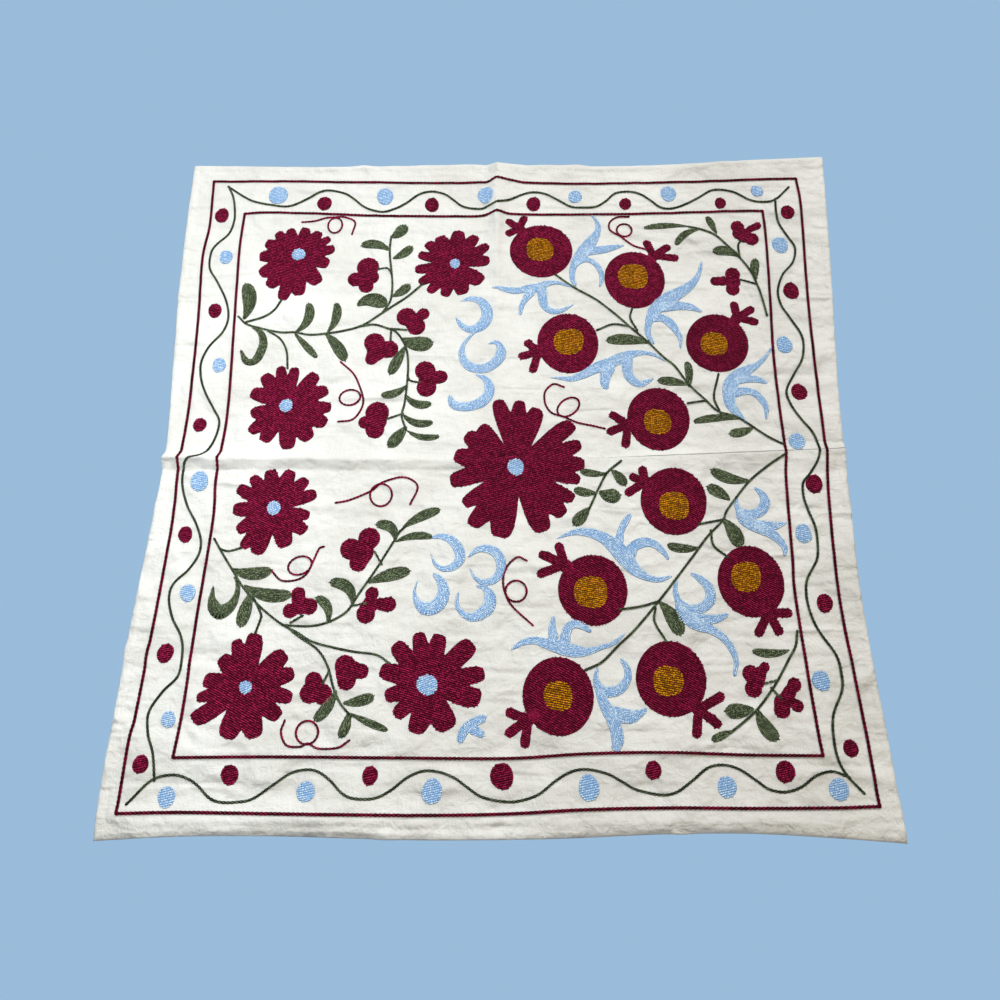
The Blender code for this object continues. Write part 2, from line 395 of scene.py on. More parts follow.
class Needlework:
    """The beds and stitches of one piece of the embroidery."""

    def __init__(self, name):
        self.name = name
        self.tone_scale = 1.0
        self.points = []
        self.faces = []
        self.stitches = []

    def add_bed(self, points, faces):
        first = sum(len(some) for some in self.points)
        self.points.append(points)
        self.faces.extend(tuple(first + corner for corner in face) for face in faces)

    def add_stitches(self, x, y, lift, heading, length, width):
        count = len(x)
        if not count:
            return
        x = x + draw.uniform(-0.4, 0.4, count)
        y = y + draw.uniform(-0.3, 0.3, count)
        heading = heading + draw.normal(0, math.radians(9), count)
        length = length * draw.uniform(0.92, 1.1, count)
        width = width * draw.uniform(0.92, 1.08, count)
        # A tone scale below 1 gives this motif darker stitches
        shade = draw.uniform(0, 1, count) * self.tone_scale
        lift = lift + draw.uniform(-0.08, 0.08, count)
        self.stitches.append(np.stack([x, y, lift, heading, length, width, shade], axis=1))


def row_stitches(outline, heading):
    """Places of the stitches in straight rows across an outline."""
    c, s = math.cos(heading), math.sin(heading)
    turned = np.stack([outline[:, 0] * c + outline[:, 1] * s, outline[:, 1] * c - outline[:, 0] * s],
                      axis=1)
    following = np.roll(turned, -1, axis=0)
    found = []
    low, high = turned[:, 1].min(), turned[:, 1].max()
    rows = max(1, round((high - low) / ROW_PITCH))
    for k in range(rows):
        level = low + (k + 0.5) * (high - low) / rows
        cut = (turned[:, 1] > level) != (following[:, 1] > level)
        t = (level - turned[cut, 1]) / (following[cut, 1] - turned[cut, 1])
        ends = np.sort(turned[cut, 0] + t * (following[cut, 0] - turned[cut, 0]))
        for start, stop in ends.reshape(-1, 2):
            count = max(1, round((stop - start) / STITCH_STEP))
            step = (stop - start) / count
            places = start + (np.arange(count) + 0.5) * step
            found.append(np.stack([places, np.full(count, level), np.full(count, step)], axis=1))
    found = np.concatenate(found)
    x = found[:, 0] * c - found[:, 1] * s
    y = found[:, 0] * s + found[:, 1] * c
    return x, y, found[:, 2]


def lobed_fill(work, centre, outline, heading=0.0, lift=0.0, rings=(0.975, 0.93, 0.62, 0.3)):
    """A bed and rows of stitches inside an outline round a centre."""
    centre = np.array(centre, float)
    count = len(outline)
    arms = outline - centre
    reach = np.hypot(*arms.T)
    levels = [outline]
    heights = [np.full(count, 0.05)]
    for share in rings:
        levels.append(centre + arms * share)
        inward = reach * (1 - share) / EDGE_SLOPE
        heights.append(BED_HEIGHT * np.sqrt(1 - (1 - np.clip(inward, 0.2, 1)) ** 2))
    levels.append(centre[None, :])
    heights.append(np.array([BED_HEIGHT]))
    points = np.concatenate([np.column_stack([ring, height + lift]) for ring,
                             height in zip(levels, heights)])
    faces = []
    for ring in range(len(rings)):
        a = ring * count
        faces += [(a + (k + 1) % count, a + k, a + count + k, a + count + (k + 1) % count)
                  for k in range(count)]
    a = len(rings) * count
    faces += [(a + (k + 1) % count, a + k, a + count) for k in range(count)]
    work.add_bed(points, faces)
    x, y, step = row_stitches(outline, heading)
    work.add_stitches(x, y, lift + BED_HEIGHT, heading + SLANT, step * STITCH_OVERLAP,
                      ROW_PITCH * ROW_OVERLAP)


def stroke_fill(work, points, widths, lift=0.0):
    """A bed and stitches along a stroke."""
    path, side, half = stroke_stations(points, widths, 3.5)
    across = (-1.0, -0.72, 0.0, 0.72, 1.0)
    rise = (0.05, 0.85, 1.0, 0.85, 0.05)
    level = BED_HEIGHT * np.clip(half / EDGE_SLOPE, 0.35, 1)
    bed = [np.column_stack([path + side * (half * share)[:, None], lift + level * high])
           for share, high in zip(across, rise)]
    bed = np.stack(bed, axis=1).reshape(-1, 3)
    wide = len(across)
    faces = [(a, a + 1, a + wide + 1, a + wide)
             for k in range(len(path) - 1) for a in range(k * wide, k * wide + wide - 1)]
    work.add_bed(bed, [face[::-1] for face in faces])

    path, side, half = stroke_stations(points, widths, STITCH_STEP * 0.9)
    ahead = np.arctan2(-side[:, 0], side[:, 1])
    for k in range(len(path)):
        rows = max(1, round(2 * half[k] / STROKE_PITCH))
        offsets = ((np.arange(rows) + 0.5) / rows * 2 - 1) * half[k]
        if half[k] < 0.6:
            continue
        places = path[k] + side[k] * offsets[:, None]
        work.add_stitches(places[:, 0], places[:, 1],
                          np.full(rows, lift + BED_HEIGHT * min(1, half[k] / EDGE_SLOPE)),
                          ahead[k] + 2 * SLANT, STITCH_STEP * STITCH_OVERLAP,
                          min(STROKE_PITCH, 2 * half[k] / rows) * 1.15)


def leaf_fill(work, base, tip, width, bow=0.0):
    """A leaf: narrow at its base, fullest past the middle, bowed to the left of its run by so much."""
    base, tip = np.array(base, float), np.array(tip, float)
    run = tip - base
    left = np.array([-run[1], run[0]]) / np.hypot(*run)
    share = np.linspace(0, 1, 7)
    path = base + run * share[:, None] + left * (4 * bow * share * (1 - share))[:, None]
    shape = (share**0.8 * (1 - share) ** 0.45) / 0.442
    shape[0], shape[-1] = 0.16, 0.45
    stroke_fill(work, path, np.clip(shape, 0.16, 1) * width)


print("beds are", BED_HEIGHT, "mm high, with a row every", ROW_PITCH, "mm")

# %% [markdown]
# The flowers. Each rosette is a blue eye and a ring of round petals, uneven because each petal was drawn by
# hand. The one in the middle is the largest, and its petals grow in bunches with deep gaps between them.

# %% Rosettes
Rosette = namedtuple("Rosette", "eye eye_radius rows_turn notch petals")
ROSETTES = (
    Rosette((-324, 325), 10.5, -12, 0.80, (
        (-342, 372, 0.71), (-317, 374, 0.83), (-293, 366, 0.86), (-277, 354, 0.79), (-269, 337, 0.80),
        (-276, 308, 0.72), (-290, 273, 0.81), (-319, 253, 0.93), (-342, 245, 0.84), (-366, 268, 0.91),
        (-381, 290, 0.79), (-385, 322, 0.87), (-377, 348, 0.85), (-361, 366, 0.90))),
    Rosette((-81, 308), 8, -20, 0.80, (
        (-76, 368), (-48, 358, 0.71), (-30, 341, 0.85), (-28, 316, 0.40), (-38, 277), (-70, 254),
        (-96, 251),
        (-120, 258), (-135, 274, 0.76), (-142, 297, 0.61), (-138, 326, 0.75), (-127, 345, 0.92),
        (-108, 357))),
    Rosette((-321, 71), 10, -28, 0.80, (
        (-334, 134), (-314, 132, 0.53), (-281, 122), (-262, 96, 0.70), (-255, 68, 0.86), (-260, 44),
        (-283, 18), (-312, 4, 0.65), (-350, 16, 0.85), (-370, 30, 0.90), (-371, 58, 0.56), (-374, 93),
        (-357, 121))),
    Rosette((-324, -83), 10, -24, 0.78, (
        (-335, -27), (-304, -28), (-281, -41), (-267, -61, 0.50), (-274, -95, 0.87), (-276, -115),
        (-302, -138, 0.63), (-344, -148, 0.92), (-363, -139, 0.84), (-371, -117, 0.70), (-381, -85, 0.67),
        (-377, -52), (-359, -37))),
    Rosette((-338, -324), 8.5, -27, 0.80, (
        (-336, -255, 0.50), (-289, -282, 0.83), (-277, -305, 0.70), (-277, -338, 0.74), (-290, -360, 0.72),
        (-320, -386, 0.82), (-356, -387, 0.54), (-404, -362, 0.80), (-400, -338, 0.88), (-394, -316, 0.70),
        (-373, -284, 0.88), (-357, -263, 0.86))),
    Rosette((-103, -320), 13.5, -16, 0.70, (
        (-116, -253, 0.78), (-90, -255, 0.65), (-45, -267, 0.62), (-29, -306, 0.76), (-33, -334, 0.50),
        (-74, -375, 0.80), (-118, -379), (-143, -359, 0.74), (-157, -335), (-165, -301), (-147, -267))),
    Rosette((12, -23), 12, -14, 0.80, (
        (-14, 80, 0.83), (19, 79, 0.88), (41, 68, 0.40), (96, 41, 0.75), (104, 14, 0.84), (109, -19, 0.91),
        (102, -42, 0.61), (93, -69, 0.90), (79, -92, 0.85), (52, -115, 0.43), (-11, -124, 0.83),
        (-51, -107, 0.86), (-60, -78, 0.54), (-80, -44, 0.80), (-75, -5, 0.84), (-59, 27, 0.97),
        (-37, 41, 0.47))),
)
EYE_LIFT = 0.55
rosettes = Needlework("rosette_petals")
rosette_eyes = Needlework("rosette_eyes")
for flower in ROSETTES:
    # The middle flower is toned darker than the other rosettes
    rosettes.tone_scale = 0.88 if flower.eye[0] > 0 else 1.0
    outline = lobed_outline(flower.eye, flower.petals, flower.notch)
    lobed_fill(rosettes, flower.eye, outline, math.radians(flower.rows_turn), rings=WIDE_RINGS)
    eye = disc_outline(flower.eye, flower.eye_radius, flower.eye_radius, 0.06, 20)
    lobed_fill(rosette_eyes, flower.eye, eye, math.radians(20), EYE_LIFT, rings=(0.9, 0.6))
print("rosettes:", len(ROSETTES), "with", sum(len(some) for some in rosettes.stitches), "stitches")

# %% [markdown]
# The fruit. A pomegranate is a crimson disc with an ochre heart and a crown of three tongues on a short
# neck. One function makes them all, each turned by where its neck and tongues point.

# %% Pomegranates
Pomegranate = namedtuple("Pomegranate", "centre half_width half_height heart heart_radius neck tongues")
POMEGRANATES = (
    Pomegranate((52, 331), 48, 47, (50, 333), 21.5, (18, 372), ((-2, 388), (28, 395), (-3, 360))),
    Pomegranate((194, 280), 46, 49, (192, 285), 23, (225, 322), ((214, 350), (252, 340), (264, 317))),
    Pomegranate((90, 172), 45.5, 49, (91, 174), 22.5, (46, 158), ((26, 176), (16, 149), (36, 123))),
    Pomegranate((311, 172), 45.6, 48, (306, 170), 20, (344, 214), ((341, 242), (371, 231), (376, 206))),
    Pomegranate((217, 51), 45, 48, (215, 46), 20, (173, 42), ((147, 60), (142, 29), (167, 6))),
    Pomegranate((231, -72), 46, 48, (231, -79), 21, (193, -44), ((189, -21), (171, -35), (164, -63))),
    Pomegranate((115, -196), 46, 48, (112, -199), 22.5, (78, -162), ((69, -131), (43, -146), (40, -176))),
    Pomegranate((327, -184), 44, 48.6, (321, -178), 21, (346, -226),
                ((378, -226), (360, -255), (328, -257))),
    Pomegranate((66, -333), 45.6, 49, (66, -333), 19, (27, -362), ((-2, -352), (-2, -382), (22, -397))),
    Pomegranate((212, -311), 45, 48, (208, -314), 20, (245, -349), ((279, -330), (272, -370), (239, -384))),
)
TONGUE_RADIUS = 6.5
TONGUE_WAIST = 5.8
KNOB_RADIUS = 9.0
NECK_RADIUS = 8.5
HEART_LIFT = 0.5
pomegranates = Needlework("pomegranates")
pomegranate_hearts = Needlework("pomegranate_hearts")
for fruit in POMEGRANATES:
    # The fruit outside the upper left are toned darker
    pomegranates.tone_scale = 1.0 if fruit.centre[1] > 150 and fruit.centre[0] < 260 else 0.84
    body = disc_outline(fruit.centre, fruit.half_width, fruit.half_height, 0.015, 56)
    lobed_fill(pomegranates, fruit.centre, body, math.radians(-28), rings=WIDE_RINGS)
    heart = disc_outline(fruit.heart, fruit.heart_radius, fruit.heart_radius, 0.05, 28, 0.035)
    lobed_fill(pomegranate_hearts, fruit.heart, heart, math.radians(-10), HEART_LIFT, rings=(0.94, 0.55))
    centre, neck = np.array(fruit.centre, float), np.array(fruit.neck, float)
    crown = [(*neck, KNOB_RADIUS)] + [(*(centre + (neck - centre) * share), NECK_RADIUS)
                                      for share in (0.82, 0.92)]
    for tongue in fruit.tongues:
        run = np.array(tongue) - neck
        run *= 1 - TONGUE_RADIUS / np.hypot(*run)
        crown += [(*(neck + run * share), TONGUE_WAIST + (TONGUE_RADIUS - TONGUE_WAIST) * share)
                  for share in (0.3, 0.45, 0.6, 0.75, 0.9, 1.0)]
    outline = joined_discs(fruit.neck, crown, 4.0)
    lobed_fill(pomegranates, fruit.neck, outline, math.radians(-28), -0.3, rings=(0.95, 0.85, 0.45))
print("pomegranates:", len(POMEGRANATES), "with", sum(len(some) for some in pomegranates.stitches),
      "stitches")

# %% [markdown]
# Small buds, each of a few joined discs, sit at the ends of the side stems, and dots fill the waves of the
# border's vine, crimson inside one wave and blue inside the next.

# %% Buds and dots
Bud = namedtuple("Bud", "centre discs")
BUDS = (
    Bud((-213, 290), ((-215, 302, 17), (-209, 285, 12), (-216, 269, 11.5), (-233, 281, 12),
                      (-222, 284, 13))),
    Bud((-142, 208), ((-152, 216, 15), (-127, 221, 9.5), (-137, 200, 14), (-141, 209, 14.5))),
    Bud((-190, 161), ((-198, 173, 15.5), (-176, 162, 14), (-201, 146, 9.5), (-194, 158, 14.5),
                      (-197, 153, 12))),
    Bud((-118, 112), ((-121, 127, 15), (-98, 117, 10.5), (-118, 100, 14.5), (-116, 113, 14),
                      (-106, 116, 11))),
    Bud((-188, 49), ((-188, 60, 17), (-190, 34, 13.5), (-205, 45, 9.5), (-189, 47, 15.5), (-197, 47, 11))),
    Bud((-199, -143), ((-189, -126, 15), (-213, -141, 15), (-202, -160, 12), (-198, -145, 16),
                       (-200, -152, 14))),
    Bud((-277, -216), ((-280, -203, 9.5), (-264, -219, 11), (-289, -225, 10), (-276, -218, 12),
                       (-279, -210, 9.5))),
    Bud((-181, -215), ((-181, -202, 9), (-158, -216, 10), (-168, -216, 8.5), (-188, -229, 12.5),
                       (-182, -216, 11), (-186, -221, 11))),
    Bud((-247, -328), ((-251, -315, 11), (-255, -331, 12.5), (-238, -332, 12.5), (-247, -328, 14),
                       (-248, -322, 12))),
    Bud((-208, -304), ((-211, -296, 13.5), (-190, -303, 10), (-208, -315, 12), (-209, -306, 13.5),
                       (-200, -302, 12))),
    Bud((366, 363), ((359, 374, 10.5), (361, 362, 11), (389, 376, 7), (380, 371, 6), (379, 352, 11),
                     (368, 358, 12.5))),
    Bud((342, 277), ((344, 289, 11.5), (343, 275, 11), (342, 263, 10.5), (317, 277, 8), (327, 277, 8),
                     (343, 276, 12))),
    Bud((321, -310), ((315, -304, 10.5), (334, -296, 6.5), (328, -302, 7), (317, -323, 11), (321, -312, 12),
                      (325, -306, 10))),
    Bud((357, -335), ((370, -318, 9), (363, -327, 8.5), (371, -344, 8), (351, -349, 10.5),
                      (352, -340, 10.5), (360, -332, 9))),
)
CRIMSON_DOTS = (
    (-291, 419, 12), (-120, 416, 12), (41, 417, 12), (186, 417, 10), (336, 418, 9.5), (440, 401, 11.5),
    (430, 260, 13), (423, 93, 12), (428, -47, 12.5), (422, -213, 11.5), (432, -395, 10), (-347, -430, 11.5),
    (-171, -430, 10.5), (-6, -430, 15), (183, -422, 10.5), (347, -423, 12.5), (-452, 397, 12),
    (-443, 227, 11),
    (-443, 41, 10), (-443, -121, 10.5), (-448, -281, 11.5), (-461, -418, 10.5),
)
BLUE_DOTS = (
    (-366, 435, 15.5), (-195, 432, 14), (-35, 433, 13.5), (107, 431, 11), (255, 436, 13), (396, 441, 10),
    (422, 341, 13), (410, 169, 12.5), (411, 16, 12), (405, -118, 12), (405, -313, 12), (-423, -456, 11.5),
    (-250, -449, 11.5), (-93, -448, 13.5), (102, -443, 14), (273, -441, 12), (411, -443, 12.5),
    (-437, 321, 11),
    (-426, 136, 10.5), (-433, -44, 13.5), (-429, -202, 11), (-433, -364, 9.5),
)
buds = Needlework("buds")
crimson_dots = Needlework("crimson_dots")
blue_dots = Needlework("blue_dots")
for bud in BUDS:
    outline = joined_discs(bud.centre, bud.discs, count=72)
    lobed_fill(buds, bud.centre, outline, math.radians(-15), rings=(0.95, 0.85, 0.45))
for dots, work in ((CRIMSON_DOTS, crimson_dots), (BLUE_DOTS, blue_dots)):
    for x, y, radius in dots:
        ring = disc_outline((x, y), radius * 0.95, radius * 1.08, 0.06, 20)
        lobed_fill(work, (x, y), ring, math.radians(12), rings=(0.9, 0.6))
print("buds:", len(BUDS), "dots:", len(CRIMSON_DOTS) + len(BLUE_DOTS))

# %% [markdown]
# Leaves and scrolls are strokes. A green leaf needs only its base, its tip, its width and how far it bows.
# The pale blue leaves branch like antlers, so each is three strokes that leave the same body, and each
# stroke swells and thins by its own row of widths.

# %% Green leaves
Leaf = namedtuple("Leaf", "base tip width bow", defaults=(0,))
LEAVES = (
    # The spray at the upper left
    Leaf((-398, 212), (-402, 274), 22, -8), Leaf((-318, 190), (-302, 240), 15, -10),
    Leaf((-319, 189), (-282, 148), 11), Leaf((-270, 190), (-260, 240), 14, -7),
    Leaf((-272, 188), (-240, 143), 18, 3), Leaf((-182, 356), (-160, 379), 19, -3),
    Leaf((-183, 332), (-228, 341), 16, -7), Leaf((-178, 318), (-148, 340), 15, -3),
    Leaf((-228, 235), (-184, 234), 24, 11), Leaf((-176, 251), (-149, 272), 15, -2),
    Leaf((-158, 180), (-111, 174), 25, -6), Leaf((-152, 167), (-173, 121), 16.5),
    Leaf((-147, 103), (-184, 88), 13, 5), Leaf((-148, 88), (-110, 75), 13, -8),
    Leaf((-151, 58), (-107, 46), 12, -8), Leaf((-144, 39), (-169, 7), 18),
    Leaf((-144, 33), (-97, 24), 10, -6),
    # The spray at the lower left
    Leaf((-374, -169), (-319, -170), 18, -6), Leaf((-355, -191), (-289, -203), 18.5, -7),
    Leaf((-344, -200), (-354, -247), 18), Leaf((-144, -111), (-93, -85), 14.5, 3),
    Leaf((-153, -131), (-102, -124), 11, 5), Leaf((-153, -131), (-181, -107), 15, -11),
    Leaf((-188, -187), (-131, -171), 18, 2), Leaf((-206, -218), (-239, -187), 16, -12),
    Leaf((-238, -240), (-256, -207), 13.5, -8), Leaf((-220, -327), (-246, -365), 15, 3),
    Leaf((-211, -343), (-171, -334), 14.5, -2), Leaf((-203, -354), (-213, -385), 13.5, 3),
    Leaf((-202, -355), (-151, -376), 9.5, -1),
    # The sprig beside the middle flower
    Leaf((114, -82), (91, -107), 17), Leaf((140, -32), (102, -28), 11, 2),
    Leaf((146, -27), (165, -50), 15, 2),
    Leaf((124, -60), (93, -55), 13, 2), Leaf((128, -58), (158, -63), 21, -4),
    # The vines of the pomegranates
    Leaf((213, 172), (147, 176), 18, -4), Leaf((264, 100), (264, 142), 12, -2),
    Leaf((264, 104), (219, 111), 14, -2),
    Leaf((334, 51), (267, 46), 12, -4), Leaf((351, 37), (316, 28), 14, 2),
    Leaf((338, -42), (286, -26), 17, 5),
    Leaf((309, -71), (278, -51), 17, -2), Leaf((297, -98), (316, -138), 21, 4),
    Leaf((261, -138), (218, -134), 13, 3),
    Leaf((203, -212), (228, -256), 21, 4),
    # The corner sprays on the right
    Leaf((284, 375), (213, 372), 10.5, -3), Leaf((301, 370), (261, 341), 11.5, -7),
    Leaf((326, 361), (313, 394), 11),
    Leaf((357, 320), (317, 329), 17, -6), Leaf((379, 279), (382, 317), 14, 2),
    Leaf((286, -375), (258, -386), 10.5),
    Leaf((369, -274), (320, -275), 11.5, 4), Leaf((316, -348), (278, -351), 19, 1),
    Leaf((320, -348), (343, -385), 19, -5),
)
CURLED_LEAVES = (
    (((-384, 200), (-370, 190), (-364, 170), (-372, 145), (-386, 142), (-397, 161)),
     (4, 10, 13, 13, 10, 3)),
    (((-396, -192), (-395, -212), (-385, -227), (-370, -220), (-363, -205), (-363, -190), (-368, -178)),
     (2, 8, 17, 20, 14, 8, 6, 4)),
)
leaves = Needlework("leaves")
for leaf in LEAVES:
    leaf_fill(leaves, leaf.base, leaf.tip, leaf.width, leaf.bow)
for path, widths in CURLED_LEAVES:
    stroke_fill(leaves, path, widths)
print("leaves:", len(LEAVES) + len(CURLED_LEAVES), "with", sum(len(some) for some in leaves.stitches),
      "stitches")

# %% [markdown]
# The pale blue scrolls are single strokes too, in pairs and curls between the fruit.

# %% Blue scrolls
Stroke = namedtuple("Stroke", "points widths")
SCROLLS = (
    # Beside the first pomegranate
    Stroke(((104, 268), (99, 282), (101, 302), (112, 322), (125, 340), (136, 357), (142, 372), (139, 386),
            (131, 397)),
           (5, 8, 10, 17, 21, 18, 10, 6, 2)),
    Stroke(((118, 330), (140, 332), (160, 336), (181, 341)), (16, 14, 13, 9, 2)),
    Stroke(((104, 306), (113, 313), (124, 315), (136, 307), (143, 293), (144, 280), (140, 267)),
           (8, 9, 8, 8, 8, 6, 2)),
    Stroke(((101, 266), (88, 271), (74, 275), (60, 273), (46, 266), (30, 264), (14, 261), (-4, 263),
            (-24, 266)),
           (2, 4, 7, 12, 15, 11, 11, 8, 2)),
    Stroke(((38, 262), (29, 249), (22, 236), (19, 219)), (16, 12, 8, 7, 3)),
    Stroke(((53, 266), (53, 250), (55, 237), (63, 227), (76, 225), (88, 230), (100, 238)),
           (16, 14, 12, 10, 8, 5, 2)),
    # Above and below the fourth
    Stroke(((217, 170), (210, 185), (210, 200), (216, 216), (226, 232), (243, 246), (262, 258), (278, 270),
            (289, 283), (296, 300), (299, 314)), (5, 8, 10, 18, 22, 23, 19, 15, 9, 5, 2)),
    Stroke(((228, 230), (248, 234), (268, 234), (281, 230), (292, 224)), (16, 16, 14, 11, 3)),
    Stroke(((216, 212), (230, 214), (243, 206), (252, 192), (257, 178), (256, 163)),
           (12, 12, 13, 10, 6, 2)),
    Stroke(((233, 142), (218, 152), (202, 156), (184, 154), (166, 147), (148, 138), (130, 131), (112, 121),
            (94, 114), (78, 115), (63, 116)), (2, 5, 7, 13, 17, 18, 17, 13, 10, 6, 1)),
    Stroke(((152, 138), (145, 122), (142, 109), (144, 97)), (22, 18, 16, 13, 6)),
    Stroke(((180, 150), (176, 136), (177, 121), (184, 110), (196, 106), (214, 114)),
           (14, 15, 14, 12, 8, 2)),
    Stroke(((344, 43), (333, 57), (323, 71), (321, 88), (325, 105), (337, 119), (352, 128), (366, 136),
            (379, 148),
            (391, 165)), (3, 9, 15, 18, 21, 19, 14, 8, 5, 2)),
    Stroke(((332, 112), (348, 114), (364, 113), (379, 107)), (16, 13, 12, 10, 3)),
    Stroke(((325, 90), (341, 94), (356, 92), (367, 82), (373, 68), (371, 50)), (16, 12, 10, 10, 7, 2)),
    # The lower right
    Stroke(((344, -52), (354, -62), (357, -74), (350, -86), (336, -91), (323, -88), (317, -76), (318, -66)),
           (3, 9, 14, 14, 13, 12, 7, 3)),
    Stroke(((318, -84), (326, -98), (340, -107), (355, -114), (368, -124), (377, -137), (376, -150)),
           (8, 17, 18, 16, 12, 9, 3)),
    Stroke(((338, -104), (352, -107), (368, -107), (384, -103)), (14, 14, 10, 3)),
    Stroke(((222, -177), (205, -182), (188, -179), (173, -169), (161, -154), (149, -139), (134, -126),
            (116, -118),
            (98, -116), (82, -120), (68, -126)), (2, 7, 9, 17, 22, 22, 17, 13, 11, 6, 1)),
    Stroke(((152, -134), (155, -118), (160, -106), (170, -91)), (14, 10, 9, 9, 6)),
    Stroke(((166, -152), (171, -138), (184, -131), (198, -132), (210, -141), (219, -155)),
           (18, 14, 14, 11, 8, 3)),
    Stroke(((247, -173), (261, -182), (271, -195), (270, -210), (258, -220), (243, -221), (230, -213),
            (225, -198),
            (228, -181)), (3, 10, 13, 14, 13, 12, 9, 6, 3)),
    Stroke(((227, -212), (234, -228), (249, -240), (266, -247), (282, -257), (293, -271), (298, -288),
            (294, -308)),
           (8, 18, 18, 12, 10, 9, 6, 4)),
    Stroke(((243, -232), (260, -235), (277, -234), (293, -228)), (14, 13, 11, 4)),
    Stroke(((5, -275), (20, -266), (36, -263), (52, -267), (68, -271), (86, -276), (104, -277), (122, -272),
            (140, -266), (155, -254)), (2, 8, 10, 14, 19, 16, 9, 6, 5, 2)),
    Stroke(((62, -264), (60, -252), (60, -242), (62, -231)), (15, 12, 8, 3)),
    Stroke(((76, -268), (78, -252), (86, -242), (98, -243), (111, -252)), (16, 12, 11, 10, 4)),
    Stroke(((148, -286), (156, -298), (156, -311), (147, -323), (134, -328), (121, -325), (115, -312),
            (118, -296)),
           (4, 8, 10, 12, 13, 13, 6, 2)),
    Stroke(((118, -324), (124, -341), (133, -357), (138, -372), (140, -386), (136, -401)),
           (10, 13, 17, 15, 16, 9)),
    Stroke(((132, -350), (144, -356), (158, -358), (170, -354), (179, -348)), (14, 19, 18, 11, 3)),
    # The crescents between the flowers, and the small sprig below them
    Stroke(((-71, 243), (-56, 247), (-41, 243), (-32, 230), (-31, 215), (-40, 201), (-54, 195), (-67, 200),
            (-78, 215)), (2, 8, 13, 16, 18, 16, 12, 8, 2)),
    Stroke(((-48, 191), (-60, 178), (-67, 163), (-66, 147), (-56, 134), (-41, 130), (-26, 134), (-13, 146),
            (-9, 160), (-16, 172), (-29, 171)), (3, 4, 7, 10, 14, 14, 15, 16, 15, 8, 2)),
    Stroke(((-47, 121), (-34, 115), (-27, 104), (-27, 91), (-36, 78), (-52, 71), (-67, 70), (-79, 74),
            (-84, 88)),
           (2, 8, 14, 15, 16, 14, 14, 12, 4)),
    Stroke(((-104, -125), (-90, -123), (-75, -129), (-66, -141), (-64, -154), (-73, -165), (-87, -168),
            (-98, -161), (-104, -147)), (3, 8, 12, 14, 14, 11, 7, 4, 1)),
    Stroke(((-100, -174), (-90, -184), (-85, -198), (-89, -212), (-99, -221), (-111, -221), (-121, -211),
            (-124, -197), (-120, -184)), (4, 11, 15, 18, 18, 17, 8, 3, 1)),
    Stroke(((-53, -152), (-41, -142), (-27, -140), (-14, -147), (-8, -160), (-10, -174), (-20, -184),
            (-33, -186),
            (-44, -179), (-51, -167)), (2, 7, 11, 13, 13, 12, 11, 8, 4, 1)),
    Stroke(((-42, -191), (-30, -194), (-23, -205), (-24, -218), (-34, -228), (-47, -233), (-59, -228),
            (-67, -215),
            (-65, -199)), (2, 8, 16, 17, 15, 10, 7, 5, 2)),
    Stroke(((-60, -391), (-56, -379), (-49, -370), (-38, -364), (-27, -360)), (8, 11, 12, 11, 10)),
    Stroke(((-48, -373), (-38, -377), (-29, -382)), (12, 11, 9)),
)
LAYER_STEP = 0.03
scrolls = Needlework("blue_scrolls")
for index, stroke in enumerate(SCROLLS):
    stroke_fill(scrolls, stroke.points, stroke.widths, LAYER_STEP * (index % 3))
print("blue scrolls:", len(SCROLLS), "strokes")

# %% [markdown]
# The lines: two crimson frame lines, the green vine that waves between them, the green stems and the curled
# tendrils. On the cloth each is a row of chain stitches, so here each is only a path.

# %% Frame lines, vine, stems and tendrils
OUTER_FRAME = (
    ((-472, 461), (-350, 461), (-250, 459), (-100, 457), (-45, 458), (-30, 458), (-17, 461), (20, 458),
     (100, 455),
     (200, 456), (300, 458.5), (400, 462.5), (460, 464)),
    ((460, 464), (462, 420), (460, 370), (455, 280), (452, 200), (450.5, 100), (450, 0), (445, -80),
     (442, -200), (448, -300), (455, -400), (457, -462)),
    ((457, -462), (400, -464), (300, -465), (200, -465), (100, -467.5), (0, -473), (-100, -475),
     (-250, -474), (-400, -473), (-482, -475)),
    ((-482, -475), (-480, -390), (-476, -360), (-472, -290), (-467, -200), (-463, -100), (-465, -40),
     (-465, -12),
     (-464, 10), (-462, 60), (-464, 150), (-468, 240), (-473, 320), (-469, 380), (-472, 461)),
)
INNER_FRAME = (
    ((-416, 400), (-380, 402), (-300, 400), (-220, 396), (-80, 394), (-40, 395), (-17, 399), (0, 399),
     (50, 397), (200, 398), (350, 402.5), (401, 403)),
    ((401, 403), (401, 350), (397, 250), (392, 150), (392, 60), (393, 10), (389, -50), (386, -150),
     (384, -200), (388, -290), (393, -370), (396, -404)),
    ((396, -404), (300, -403.5), (200, -401), (100, -403), (0, -409), (-150, -409), (-300, -408.5),
     (-421, -410)),
    ((-421, -410), (-416, -350), (-413, -240), (-407, -100), (-410, -40), (-405, 60), (-411, 200),
     (-417, 330), (-416, 400)),
)
